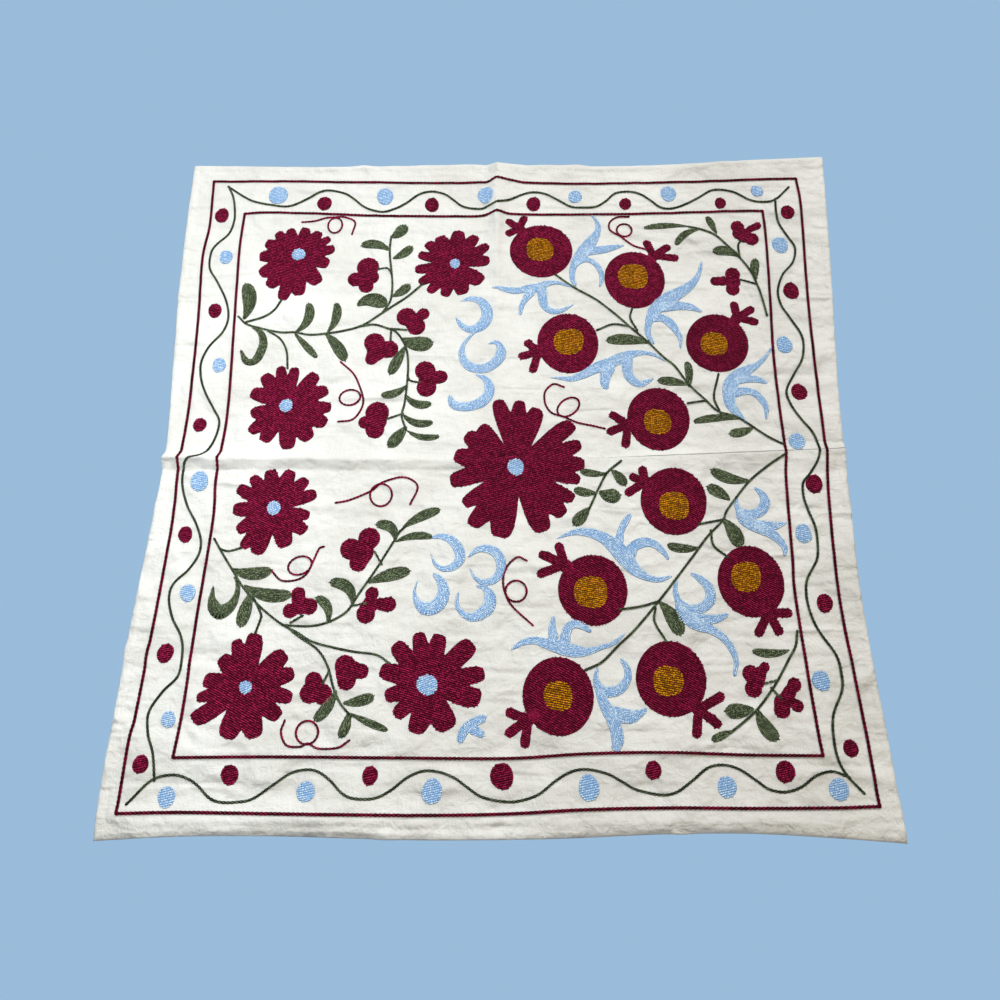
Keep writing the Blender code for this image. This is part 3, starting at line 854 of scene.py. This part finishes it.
VINE = (
    ((-446, 450), (-420, 432), (-400, 422), (-360, 414), (-340, 416), (-320, 427), (-300, 440), (-283, 443),
     (-260, 438), (-245, 428), (-225, 411), (-200, 403), (-180, 408), (-160, 420), (-140, 436), (-120, 441),
     (-100, 436), (-85, 424), (-70, 412), (-45, 408), (-28, 412), (0, 422), (20, 433), (40, 439), (60, 436),
     (80, 424), (100, 412), (120, 410), (140, 412), (155, 422), (170, 436), (190, 440), (210, 435),
     (225, 424),
     (240, 411), (255, 408), (275, 413), (300, 427), (320, 440), (337, 443), (360, 438), (380, 425),
     (400, 420), (422, 424), (445, 446)),
    ((423, 424), (422, 400), (424, 380), (435, 355), (444, 335), (438, 310), (420, 288), (410, 260),
     (412, 235),
     (422, 215), (435, 190), (438, 170), (433, 145), (418, 120), (405, 95), (408, 75), (420, 52), (435, 30),
     (440, 10), (437, -10), (425, -30), (413, -45), (411, -65), (415, -85), (422, -110), (422, -135),
     (418, -155), (403, -180), (399, -200), (401, -225), (410, -250), (428, -280), (432, -305), (430, -325),
     (415, -355), (412, -385), (415, -410), (424, -428), (440, -446)),
    ((-470, -463), (-445, -437), (-420, -430), (-400, -434), (-385, -443), (-370, -456), (-355, -461),
     (-335, -461), (-315, -457), (-290, -440), (-270, -427), (-250, -423), (-235, -426), (-220, -436),
     (-205, -450), (-190, -456), (-165, -456), (-145, -447), (-125, -432), (-105, -424), (-85, -425),
     (-65, -432), (-50, -442), (-30, -454), (0, -459), (20, -457), (40, -450), (60, -435), (80, -424),
     (100, -421), (125, -426), (145, -436), (160, -444), (190, -450), (210, -447), (230, -434), (250, -419),
     (270, -415), (290, -420), (310, -433), (325, -443), (345, -446), (365, -440), (385, -427), (405, -422),
     (424, -428)),
    ((-446, 450), (-437, 430), (-432, 405), (-431, 385), (-437, 362), (-455, 342), (-461, 325), (-459, 300),
     (-445, 277), (-428, 245), (-421, 215), (-427, 190), (-445, 165), (-453, 140), (-450, 115), (-440, 90),
     (-425, 65), (-415, 45), (-420, 15), (-433, -5), (-450, -12), (-457, -25), (-456, -50), (-445, -80),
     (-430, -105), (-420, -130), (-421, -150), (-432, -170), (-450, -190), (-453, -210), (-445, -235),
     (-430, -260), (-425, -285), (-428, -310), (-445, -330), (-459, -355), (-457, -380), (-447, -405),
     (-441, -435)),
)
STEMS = (
    # The spray at the upper left
    ((-405, 216), (-392, 204), (-368, 196), (-339, 190), (-320, 190), (-296, 186), (-272, 188), (-248, 192),
     (-221, 200), (-200, 214), (-178, 231), (-154, 249), (-130, 272)),
    ((-392, 208), (-368, 216), (-353, 228), (-344, 244)),
    ((-358, 192), (-339, 179), (-328, 159), (-324, 132)),
    ((-188, 224), (-178, 243), (-176, 267), (-178, 291), (-182, 320), (-183, 339), (-182, 356)),
    ((-179, 292), (-185, 300), (-198, 299)),
    ((-221, 200), (-200, 203), (-178, 196), (-166, 190), (-154, 173), (-148, 154), (-146, 130), (-147, 98),
     (-149, 74), (-152, 55), (-146, 36)),
    ((-178, 196), (-153, 194)), ((-174, 194), (-174, 178)), ((-146, 118), (-142, 111), (-129, 108)),
    ((-152, 58), (-171, 51)),
    # The spray at the lower left
    ((-401, -128), (-387, -149), (-370, -173), (-358, -190), (-341, -209), (-322, -226), (-298, -243),
     (-276, -254), (-257, -265), (-231, -272), (-200, -278), (-171, -282), (-154, -292)),
    ((-390, -142), (-380, -144), (-365, -140)),
    ((-340, -207), (-328, -228), (-327, -235), (-332, -253)),
    ((-296, -244), (-262, -245), (-238, -240), (-214, -226), (-200, -204), (-180, -173), (-166, -149),
     (-154, -128)),
    ((-154, -128), (-148, -117), (-140, -109)), ((-171, -161), (-180, -146)), ((-207, -218), (-190, -215)),
    ((-286, -240), (-273, -232)),
    ((-290, -247), (-274, -259), (-248, -276), (-233, -298), (-224, -324), (-214, -343), (-200, -358)),
    ((-232, -305), (-238, -318)),
    # The sprig beside the middle flower
    ((159, -15), (141, -30), (129, -51), (120, -70), (112, -87)),
    # The vines of the pomegranates
    ((74, 288), (100, 267), (134, 245), (158, 224), (182, 200), (206, 176), (230, 149), (245, 135),
     (257, 116),
     (269, 99), (286, 81), (303, 63), (329, 54), (353, 37), (370, 24), (392, 12)),
    ((193, 194), (184, 214), (187, 228)), ((180, 200), (158, 203), (135, 194)),
    ((306, 61), (299, 85), (308, 120)), ((286, 79), (262, 75)),
    ((392, -3), (365, -21), (339, -42), (320, -64), (303, -86), (296, -100), (274, -122), (255, -146),
     (226, -182), (202, -211), (170, -247), (146, -269), (124, -290), (103, -300)),
    ((294, -99), (264, -105)), ((279, -115), (281, -135), (298, -150)),
    ((202, -211), (178, -218), (151, -222)),
    ((197, -221), (195, -238), (208, -262)),
    # The corner sprays on the right
    ((284, 374), (303, 369), (322, 360), (339, 341), (356, 320), (370, 298), (378, 276), (384, 252),
     (389, 219)),
    ((357, 321), (357, 341), (362, 348)), ((378, 272), (356, 279)),
    ((381, -251), (377, -269), (365, -288), (346, -317), (322, -346), (303, -362), (284, -376)),
    ((347, -313), (334, -316)), ((341, -323), (350, -334)),
)
Loop = namedtuple("Loop", "centre half_width half_height turn")
TENDRILS = (
    (((-322, 384), (-303, 386), (-286, 392), (-272, 393), (-257, 393), (-240, 384), (-243, 363)),
     Loop((-271, 378), 11, 14, 0)),
    (((-245, 140), (-226, 122), (-215, 100), (-209, 79), (-213, 62), (-224, 49), (-242, 46)),
     Loop((-229, 84), 15, 12, 10)),
    (((-237, -75), (-219, -71), (-190, -58), (-176, -46), (-152, -38), (-135, -41), (-125, -53),
      (-134, -76)),
     Loop((-176, -64), 15, 16, 0)),
    (((-318, -172), (-305, -184), (-286, -184), (-272, -176), (-264, -159), (-257, -141), (-252, -138)),
     Loop((-281, -164), 16, 12, 20)),
    (((-284, -366), (-287, -379), (-279, -394), (-262, -396), (-252, -392), (-238, -398), (-214, -397),
      (-201, -389)), Loop((-254, -379), 14, 14, 0)),
    (((189, 393), (172, 392), (160, 382), (160, 368), (175, 357), (194, 341), (214, 333)),
     Loop((182, 368), 11.5, 11.5, 0)),
    (((81, 101), (67, 105), (55, 93), (55, 74), (64, 60), (81, 54), (100, 45), (122, 40), (138, 36)),
     Loop((88, 69), 18, 12, 40)),
    (((25, -156), (14, -152), (1, -163), (-5, -180), (-3, -199), (7, -218), (33, -242)),
     Loop((12, -198), 14, 14, 0)),
)


def loop_path(loop):
    """The closed curl of a tendril."""
    turn = np.linspace(0, 2 * math.pi, 17)
    x, y = np.cos(turn) * loop.half_width, np.sin(turn) * loop.half_height
    c, s = math.cos(math.radians(loop.turn)), math.sin(math.radians(loop.turn))
    return np.stack([loop.centre[0] + x * c - y * s, loop.centre[1] + x * s + y * c], axis=1)


frame_paths = [side for frame_line in (OUTER_FRAME, INNER_FRAME) for side in frame_line]
tendril_paths = [path for curl, loop in TENDRILS for path in (curl, loop_path(loop))]
lengths = {name: round(sum(path_through(path, 4)[2] for path in paths) * MM, 2)
           for name, paths in (("frame", frame_paths), ("vine", VINE), ("stems", STEMS),
                               ("tendrils", tendril_paths))}
print("metres of line:", lengths)

# %% [markdown]
# Now the thread. A fill's stitches are points that carry their heading, length, width and shade, and one
# tree of Geometry Nodes puts a grain of thread on each. The grain is a ball of few faces. How high each of
# its points lies is kept as an attribute, from which the material paints a highlight on the top of each
# grain and shade in the gaps between the grains. Realize Instances makes it plain mesh again, and the kept
# height and the shade stay on it. One small class adds the nodes, here and in the materials.

# %% A tree for the stitches of a fill
GRAIN_WIDE = 0.75
GRAIN_HIGH = 0.65
PAINTED_LIGHT_GAIN = 2.31
Tree = namedtuple("Tree", "group inputs")


class Nodes:
    """Adds nodes to one tree. A value is a number, or a socket that is linked to the input."""

    def __init__(self, tree):
        self.tree = tree

    def add(self, kind, values=(), **settings):
        made = self.tree.nodes.new(kind)
        for name, value in settings.items():
            setattr(made, name, value)
        for label, value in dict(values).items():
            if isinstance(value, bpy.types.NodeSocket):
                self.tree.links.new(value, made.inputs[label])
            else:
                made.inputs[label].default_value = value
        return made

    def maths(self, operation, *numbers, **settings):
        return self.add("ShaderNodeMath", enumerate(numbers), operation=operation, **settings).outputs[0]

    def vector(self, **sides):
        return self.add("ShaderNodeCombineXYZ", sides).outputs["Vector"]

    def noise(self, place, scale, detail, **more):
        values = {"Vector": place, "Scale": scale, "Detail": detail, **more}
        return self.add("ShaderNodeTexNoise", values).outputs["Fac"]

    def ranged(self, value, low, high, to_low=0.0, to_high=1.0):
        values = {"Value": value, "From Min": low, "From Max": high, "To Min": to_low, "To Max": to_high}
        return self.add("ShaderNodeMapRange", values).outputs["Result"]

    def kept(self, geometry, name, value):
        """The geometry, with a number kept on each of its points."""
        values = {"Geometry": geometry, "Name": name, "Value": value}
        made = self.add("GeometryNodeStoreNamedAttribute", values, data_type="FLOAT", domain="POINT")
        return made.outputs["Geometry"]


def start_tree(name, inputs):
    """A Geometry Nodes tree with named inputs, what adds its nodes, and its first node."""
    group = bpy.data.node_groups.new(name, "GeometryNodeTree")
    group.interface.new_socket("Geometry", in_out="INPUT", socket_type="NodeSocketGeometry")
    sockets = {}
    for label, kind in [(label, "NodeSocketFloat")
                        for label in inputs] + [("Material", "NodeSocketMaterial")]:
        sockets[label] = group.interface.new_socket(label, in_out="INPUT", socket_type=kind).identifier
    group.interface.new_socket("Geometry", in_out="OUTPUT", socket_type="NodeSocketGeometry")
    nodes = Nodes(group)
    return Tree(group, sockets), nodes, nodes.add("NodeGroupInput")


def end_tree(nodes, given, points, instance, placing):
    """Lays the instance on the points, makes it plain mesh and gives it its material."""
    placed = nodes.add("GeometryNodeInstanceOnPoints", {"Points": points, "Instance": instance, **placing})
    real = nodes.add("GeometryNodeRealizeInstances", {"Geometry": placed.outputs["Instances"]})
    soft = nodes.add("GeometryNodeSetShadeSmooth", {"Geometry": real.outputs["Geometry"]})
    done = nodes.add("GeometryNodeSetMaterial",
                     {"Geometry": soft.outputs["Geometry"], "Material": given.outputs["Material"]})
    nodes.add("NodeGroupOutput", {"Geometry": done.outputs["Geometry"]})


def stitch_tree():
    tree, nodes, given = start_tree("Stitches of a fill", ["Thread height"])
    ball = nodes.add("GeometryNodeMeshUVSphere", {"Segments": 3, "Rings": 3, "Radius": 0.5})
    turned = nodes.add("GeometryNodeTransform",
                       {"Geometry": ball.outputs["Mesh"], "Rotation": (0, -math.pi / 2, 0)})
    place = nodes.add("GeometryNodeInputPosition").outputs["Position"]
    height = nodes.add("ShaderNodeSeparateXYZ", {"Vector": place}).outputs["Z"]
    # The height of each point of the grain, kept for the painted highlight on its top and the painted shade
    # low down
    grain = nodes.kept(turned.outputs["Geometry"], "painted_light", nodes.maths("MULTIPLY", height, PAINTED_LIGHT_GAIN))
    turn, long, wide = (
        nodes.add("GeometryNodeInputNamedAttribute", {"Name": name}, data_type="FLOAT").outputs["Attribute"]
        for name in ("turn", "long", "wide")
    )
    high = nodes.maths("DIVIDE", given.outputs["Thread height"], GRAIN_HIGH)
    size = nodes.vector(X=long, Y=nodes.maths("DIVIDE", wide, GRAIN_WIDE), Z=high)
    end_tree(nodes, given, given.outputs["Geometry"], grain,
             {"Rotation": nodes.vector(Z=turn), "Scale": size})
    return tree


stitches_of_a_fill = stitch_tree()
print("the stitch tree has", len(stitches_of_a_fill.group.nodes), "nodes")

# %% [markdown]
# A chain stitch is a loop of thread held down by the next loop, so each link is two strands that bow apart
# and meet again, and the cotton shows between them. The tree walks along every path at the length of one
# link and lays a link there, turned to the path.

# %% A tree for the lines of chain stitch
LINK_REACH = 0.6
LINK_START, LINK_TOP, LINK_END = -0.15, 0.45, 0.1


def chain_tree():
    tree, nodes, given = start_tree("Lines of chain stitch", ["Pitch", "Link width", "Thread radius"])
    radius = given.outputs["Thread radius"]
    ahead = nodes.maths("MULTIPLY", given.outputs["Pitch"], LINK_REACH)
    back = nodes.maths("MULTIPLY", ahead, -1.0)
    apart = nodes.maths("SUBTRACT", given.outputs["Link width"], nodes.maths("MULTIPLY", radius, 2.0))
    ring = nodes.add("GeometryNodeCurvePrimitiveCircle", {"Resolution": 3, "Radius": radius})
    strands = nodes.add("GeometryNodeJoinGeometry")
    for side in (1.0, -1.0):
        bow = nodes.maths("MULTIPLY", apart, side)
        arc = nodes.add("GeometryNodeCurveQuadraticBezier", {
            "Resolution": 3, "Start": nodes.vector(X=back, Z=LINK_START),
            "Middle": nodes.vector(Y=bow, Z=LINK_TOP), "End": nodes.vector(X=ahead, Z=LINK_END),
        })
        nodes.tree.links.new(arc.outputs["Curve"], strands.inputs["Geometry"])
    # Along each strand a value of 1 at its middle and 0 at its ends: painted highlight mid-link, painted
    # shade where links meet
    share = nodes.add("GeometryNodeSplineParameter").outputs["Factor"]
    arch = nodes.maths("MULTIPLY", share, nodes.maths("SUBTRACT", 1.0, share))
    painted_light = nodes.maths("POWER", nodes.maths("MULTIPLY", arch, 4.0), 3.0)
    link = nodes.add("GeometryNodeCurveToMesh", {
        "Curve": nodes.kept(strands.outputs["Geometry"], "painted_light", painted_light),
        "Profile Curve": ring.outputs["Curve"],
        "Fill Caps": True,
    })
    paths = nodes.add("GeometryNodeMeshToCurve", {"Mesh": given.outputs["Geometry"]})
    places = nodes.add("GeometryNodeCurveToPoints",
                       {"Curve": paths.outputs["Curve"], "Length": given.outputs["Pitch"]}, mode="LENGTH")
    toned = nodes.add("FunctionNodeRandomValue", {"Seed": SEED}, data_type="FLOAT")
    shaded = nodes.kept(places.outputs["Points"], "shade", toned.outputs[1])
    turned = nodes.add("FunctionNodeAlignRotationToVector", {"Vector": places.outputs["Tangent"]},
                       axis="X", pivot_axis="Z")
    end_tree(nodes, given, shaded, link.outputs["Mesh"], {"Rotation": turned.outputs["Rotation"]})
    return tree


lines_of_chain_stitch = chain_tree()
print("the chain tree has", len(lines_of_chain_stitch.group.nodes), "nodes")

# %% [markdown]
# Two kinds of material. The cotton's weave is a node group that gives only a height and a shade, so another
# cloth can use it: two crossing waves are the threads, and noise that is drawn out along each thread makes
# the slubs. The crumple of the cotton is three noises of their own scale, and a thin pressed line marks the
# crease on the right. The thread's material reads the two attributes of the stitches: each stitch has its
# own random tone, and the few much lighter stitches partly stand for glints of the thread's sheen. The
# material also paints a highlight on the top of each stitch and shade on its low sides and ends.

# %% Materials
COTTON_DARK = (0.68, 0.665, 0.625)
COTTON_LIGHT = (0.88, 0.875, 0.845)
WEAVE_PITCH = 0.0011
WEAVE_DEPTH = 0.00012
CRUMPLE_DEPTH = 0.0135
WRINKLE_TURN = math.radians(38)
WRINKLE_SCALE = (7.0, 34.0, 1.0)
PRESSED_LINE = 0.13
PRESSED_WIDTH = 0.0016
PRESSED_SLOPE = 0.0425
PRESSED_DROP = 0.0158
SLUB_LONG = 55.0
SLUB_NARROW = 900.0
TONE_GAIN = 1.35
TONE_LEAST = 0.27
PATCHES = 0.20
BED_PAINTED_SHADE = 0.8


def new_material(name, roughness, specular):
    material = bpy.data.materials.new(name)
    material.use_nodes = True
    surface = material.node_tree.nodes["Principled BSDF"]
    surface.inputs["Roughness"].default_value = roughness
    surface.inputs["Specular IOR Level"].default_value = specular
    return material, Nodes(material.node_tree), surface


def two_tones(nodes, surface, share, dark, light):
    """Colours the surface between a dark and a light tone, by a share that changes over it."""
    mixed = nodes.add("ShaderNodeMix", {0: share, 6: (*dark, 1), 7: (*light, 1)}, data_type="RGBA")
    nodes.tree.links.new(mixed.outputs[2], surface.inputs["Base Color"])


def weave_group():
    group = bpy.data.node_groups.new("Weave", "ShaderNodeTree")
    for label, way, kind in (("Vector", "INPUT", "Vector"), ("Thread pitch", "INPUT", "Float"),
                             ("Height", "OUTPUT", "Float"), ("Shade", "OUTPUT", "Float")):
        group.interface.new_socket(label, in_out=way, socket_type="NodeSocket" + kind)
    nodes = Nodes(group)
    given = nodes.add("NodeGroupInput")
    place = nodes.add("ShaderNodeSeparateXYZ", {"Vector": given.outputs["Vector"]})
    waves = []
    slubs = []
    for along, across, layer in (("X", "Y", 3.0), ("Y", "X", 9.0)):
        turns = nodes.maths("DIVIDE", place.outputs[across], given.outputs["Thread pitch"])
        waves.append(nodes.maths("SINE", nodes.maths("MULTIPLY", turns, math.pi)))
        long = nodes.maths("MULTIPLY", place.outputs[along], SLUB_LONG)
        narrow = nodes.maths("MULTIPLY", place.outputs[across], SLUB_NARROW)
        slubs.append(nodes.noise(nodes.vector(X=long, Y=narrow, Z=layer), 1.0, 2.0))
    slub = nodes.maths("ADD", *slubs)
    height = nodes.maths("MULTIPLY_ADD", nodes.maths("MULTIPLY", *waves), 0.35, slub)
    nodes.add("NodeGroupOutput", {"Height": height, "Shade": nodes.maths("MULTIPLY", slub, 0.5)})
    return group


def cotton_material(weave):
    material, nodes, surface = new_material("cotton", 0.92, 0.2)
    place = nodes.add("ShaderNodeTexCoord").outputs["Object"]
    cloth = nodes.add("ShaderNodeGroup", {"Vector": place, "Thread pitch": WEAVE_PITCH}, node_tree=weave)
    cloudy = nodes.maths("MULTIPLY", nodes.noise(place, 7.0, 4.0), 0.7)
    mixed = nodes.maths("ADD", nodes.maths("MULTIPLY", cloth.outputs["Shade"], 0.5), cloudy)
    two_tones(nodes, surface, nodes.ranged(mixed, 0.40, 0.80), COTTON_DARK, COTTON_LIGHT)
    rumples = nodes.noise(place, 16.0, 2.0, Roughness=0.45, Distortion=0.5)
    puckers = nodes.noise(place, 60.0, 3.0, Roughness=0.6, Distortion=0.3)
    turned = nodes.add("ShaderNodeMapping",
                       {"Vector": place, "Rotation": (0, 0, WRINKLE_TURN), "Scale": WRINKLE_SCALE})
    wrinkles = nodes.noise(turned.outputs["Vector"], 1.0, 1.0, Distortion=0.8)
    x, y, _ = nodes.add("ShaderNodeSeparateXYZ", {"Vector": place}).outputs
    outward = nodes.maths("MAXIMUM", nodes.maths("ABSOLUTE", x), nodes.maths("ABSOLUTE", y))
    near_hem = nodes.ranged(outward, 0.455, 0.495, 0.24, 0.32)
    soft = nodes.maths("MULTIPLY_ADD", puckers, near_hem,
                       nodes.maths("MULTIPLY_ADD", wrinkles, 0.45, rumples))
    line = nodes.maths("SUBTRACT", nodes.maths("MULTIPLY", x, PRESSED_SLOPE), PRESSED_DROP)
    from_line = nodes.maths("ABSOLUTE", nodes.maths("SUBTRACT", y, line))
    pressed = nodes.maths("MULTIPLY", nodes.ranged(from_line, PRESSED_WIDTH, 0.0),
                          nodes.ranged(x, 0.10, 0.22))
    soft = nodes.maths("SUBTRACT", soft, nodes.maths("MULTIPLY", pressed, PRESSED_LINE))
    crumple = nodes.add("ShaderNodeBump", {"Height": soft, "Distance": CRUMPLE_DEPTH, "Strength": 1.0})
    threads = nodes.add("ShaderNodeBump", {
        "Height": cloth.outputs["Height"], "Distance": WEAVE_DEPTH, "Strength": 1.0,
        "Normal": crumple.outputs["Normal"],
    })
    nodes.tree.links.new(threads.outputs["Normal"], surface.inputs["Normal"])
    return material


def thread_material(name, dark, light):
    material, nodes, surface = new_material(name, 0.75, 0.08)
    shade = nodes.add("ShaderNodeAttribute", attribute_name="shade").outputs["Fac"]
    painted_light = nodes.add("ShaderNodeAttribute", attribute_name="painted_light").outputs["Fac"]
    patchy = nodes.noise(nodes.add("ShaderNodeTexCoord").outputs["Object"], 45.0, 3.0)
    # Each stitch's own random tone; the few much lighter stitches are partly painted glints of the thread's
    # sheen
    squared = nodes.maths("MULTIPLY", shade, shade)
    lively = nodes.maths("ADD", nodes.maths("MULTIPLY", squared, TONE_GAIN), TONE_LEAST)
    # Painted light: each grain is mixed towards the light tone on its top as a painted highlight, and towards
    # the dark tone low down and in the gaps as painted shade
    tone = nodes.maths("MULTIPLY_ADD", nodes.maths("MAXIMUM", painted_light, 0.0), lively,
                       nodes.maths("MULTIPLY", patchy, PATCHES), use_clamp=True)
    two_tones(nodes, surface, tone, dark, light)
    return material


# The bed's colour is the thread's dark tone made darker still: painted shade in the gaps between the
# stitches.
def bed_material(name, dark):
    material, _, surface = new_material(name, 0.95, 0.1)
    surface.inputs["Base Color"].default_value = (*(part * BED_PAINTED_SHADE for part in dark), 1)
    return material


# Each thread's dark tone is painted shade in the gaps and at the ends of the stitches; its light tone is the
# painted highlight on their tops
Thread = namedtuple("Thread", "dark light slot")
THREADS = {
    "crimson": Thread((0.030, 0.0003, 0.003), (0.53, 0.019, 0.112), "crimson_thread"),
    "green": Thread((0.012, 0.020, 0.008), (0.275, 0.335, 0.195), "green_thread"),
    "blue": Thread((0.215, 0.430, 0.780), (0.84, 0.96, 1.0), "blue_thread"),
    "ochre": Thread((0.080, 0.024, 0.001), (1.0, 0.43, 0.008), "ochre_thread"),
}
cotton = cotton_material(weave_group())
thread_materials = {
    name: thread_material(name + "_thread", thread.dark, thread.light) for name, thread in THREADS.items()
}
bed_materials = {name: bed_material(name + "_bed", thread.dark) for name, thread in THREADS.items()}
cloth_sheet.data.materials.clear()
cloth_sheet.data.materials.append(cotton)
print("materials:", ", ".join(material.name for material in bpy.data.materials if material.users))

# %% [markdown]
# Last step of the needlework: every bed, fill and line becomes a piece of its own. All of them were made
# flat and in millimetres, and one function lays each on the cloth, by adding the height of the cloth below
# every vertex. A line has darker gaps and its own light tone, because its links lie open and catch less
# light than a fill.

# %% Laying the needlework on the cloth
THREAD_HEIGHT = 0.85
BED_DEPTH = 0.45
LINE_DARK = 0.5
LINE_LIFT = 0.8
Line = namedtuple("Line", "name paths colour light pitch width radius")
LINES = (
    Line("frame_lines", frame_paths, "crimson", (0.19, 0.002, 0.028), 5.6, 4.8, 1.15),
    Line("border_vine", VINE, "green", (0.092, 0.124, 0.064), 5.4, 4.2, 1.0),
    Line("stems", STEMS, "green", (0.125, 0.168, 0.088), 4.7, 4.1, 1.0),
    Line("tendrils", tendril_paths, "crimson", (0.34, 0.006, 0.060), 4.8, 3.7, 0.92),
)


def lay_on_cloth(piece):
    """Turns a flat piece in millimetres into one in metres that follows the cloth."""
    mesh = piece.data
    flat = np.empty(len(mesh.vertices) * 3, np.float32)
    mesh.vertices.foreach_get("co", flat)
    laid = flat.reshape(-1, 3).astype(np.float64) * MM
    laid[:, 2] += cloth_top(laid[:, 0], laid[:, 1])
    mesh.vertices.foreach_set("co", laid.astype(np.float32).ravel())
    mesh.update()
    return piece


def with_tree(piece, tree, values):
    """The piece with a Geometry Nodes tree applied to it."""
    modifier = piece.modifiers.new("thread", "NODES")
    modifier.node_group = tree.group
    for label, value in values.items():
        modifier[tree.inputs[label]] = value
    return plain_copy(piece)


def bed_piece(work, colour):
    bed = mesh_object(work.name + "_bed", np.concatenate(work.points).tolist(), work.faces,
                      bed_materials[colour])
    closing = bed.modifiers.new("closing", "SOLIDIFY")
    closing.thickness = BED_DEPTH
    closing.offset = -1.0
    return lay_on_cloth(plain_copy(bed))


def fill_piece(work, colour):
    stitches = np.concatenate(work.stitches)
    piece = mesh_object(work.name, stitches[:, :3].tolist(), [], None)
    for name, column in (("turn", 3), ("long", 4), ("wide", 5), ("shade", 6)):
        values = piece.data.attributes.new(name, "FLOAT", "POINT").data
        values.foreach_set("value", stitches[:, column].astype(np.float32))
    return lay_on_cloth(with_tree(piece, stitches_of_a_fill, {
        "Thread height": THREAD_HEIGHT, "Material": thread_materials[colour],
    }))


def line_piece(line):
    # The line's dark tone is halved and its light tone is darker than a fill's: painted shade in its open
    # links
    dark = [part * LINE_DARK for part in THREADS[line.colour].dark]
    material = thread_material(line.name + "_thread", dark, line.light)
    points = []
    edges = []
    for path in line.paths:
        places = path_through(path, 2.0)[0]
        places = places[1:-1] if line.name == "frame_lines" else places
        edges += [(len(points) + k, len(points) + k + 1) for k in range(len(places) - 1)]
        points += [(x, y, line.radius * LINE_LIFT) for x, y in places]
    piece = mesh_object(line.name, points, [], None, edges)
    return lay_on_cloth(with_tree(piece, lines_of_chain_stitch, {
        "Pitch": line.pitch, "Link width": line.width, "Thread radius": line.radius, "Material": material,
    }))


needlework = {}
for work, colour in (
    (rosettes, "crimson"), (rosette_eyes, "blue"), (pomegranates, "crimson"), (pomegranate_hearts, "ochre"),
    (buds, "crimson"), (crimson_dots, "crimson"), (blue_dots, "blue"), (leaves, "green"), (scrolls, "blue"),
):
    needlework[bed_piece(work, colour)] = colour
    needlework[fill_piece(work, colour)] = colour
for line in LINES:
    needlework[line_piece(line)] = line.colour


def triangles(piece):
    piece.data.calc_loop_triangles()
    return len(piece.data.loop_triangles)


for piece in [cloth_sheet, *needlework]:
    print(f"{piece.name}: {triangles(piece)} triangles")
print("all:", sum(triangles(piece) for piece in [cloth_sheet, *needlework]))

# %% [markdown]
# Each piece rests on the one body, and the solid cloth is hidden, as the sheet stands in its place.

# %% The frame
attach(cloth_sheet, "root")
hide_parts("cloth")
for piece, colour in needlework.items():
    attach(piece, "root")

# %% [markdown]
# The picture: a pale blue floor that gives its own even light, so that the cloth stands on a plain ground,
# one light from the far side, a weaker one above the left of the cloth, and a weak warm one from near
# right. The camera looks down from in front.

# %% Floor, light and camera
FLOOR_COLOUR = (0.323, 0.503, 0.701, 1)
FLOOR_REACH = 4
FLOOR_HEIGHT = -0.0004
WORLD_COLOUR = (1.0, 0.97, 0.92, 1)
WORLD_STRENGTH = 0.145
corners = [(x * FLOOR_REACH, y * FLOOR_REACH, FLOOR_HEIGHT) for x,
           y in ((-1, -1), (1, -1), (1, 1), (-1, 1))]
floor_paint, _, floor_surface = new_material("floor", 1.0, 0.0)
floor_surface.inputs["Base Color"].default_value = (0, 0, 0, 1)
floor_surface.inputs["Emission Color"].default_value = FLOOR_COLOUR
floor_surface.inputs["Emission Strength"].default_value = 1.0
floor = mesh_object("floor", corners, [(0, 1, 2, 3)], floor_paint)

scene = bpy.context.scene
scene.world = bpy.data.worlds.new("studio")
scene.world.use_nodes = True
background = scene.world.node_tree.nodes["Background"]
background.inputs["Color"].default_value = WORLD_COLOUR
background.inputs["Strength"].default_value = WORLD_STRENGTH


def area_light(name, location, target, size, power, colour):
    light = bpy.data.lights.new(name, "AREA")
    light.shape = "SQUARE"
    light.size = size
    light.energy = power
    light.color = colour
    lamp = bpy.data.objects.new(name, light)
    lamp.location = location
    lamp.rotation_euler = (Vector(target) - Vector(location)).to_track_quat("-Z", "Y").to_euler()
    scene.collection.objects.link(lamp)


area_light("key", (1.4, 3.0, 2.7), (0, 0, 0), 0.8, 117, (1.0, 0.985, 0.95))
area_light("left_fill", (-0.55, 0.06, 1.1), (-0.45, 0.06, 0), 0.5, 10.8, (0.90, 0.965, 1.0))
area_light("near_fill", (1.3, -1.4, 1.2), (0.2, -0.1, 0), 1.2, 5.0, (1.0, 0.72, 0.34))

CAMERA_PLACE = Vector((-0.00028, -0.34230, 0.93666))
CAMERA_TARGET = Vector((-0.00932, -0.07152, 0.0017))
CAMERA_ROLL = math.radians(-1.747)
camera_data = bpy.data.cameras.new("camera")
camera_data.lens = 25.2
camera_data.sensor_width = 36
camera_data.shift_x = -0.0005
camera_data.shift_y = 0.0005
camera = bpy.data.objects.new("camera", camera_data)
back = (CAMERA_PLACE - CAMERA_TARGET).normalized()
level = Vector((0, 0, 1)).cross(back).normalized()
up = back.cross(level)
right = level * math.cos(CAMERA_ROLL) + up * math.sin(CAMERA_ROLL)
up = back.cross(right)
turn = Matrix((right, up, back)).transposed().to_4x4()
camera.matrix_world = Matrix.Translation(CAMERA_PLACE) @ turn
scene.collection.objects.link(camera)
scene.camera = camera
scene.view_settings.view_transform = "Standard"
print("camera looks down at", round(math.degrees(math.asin(back.z)), 1), "degrees")
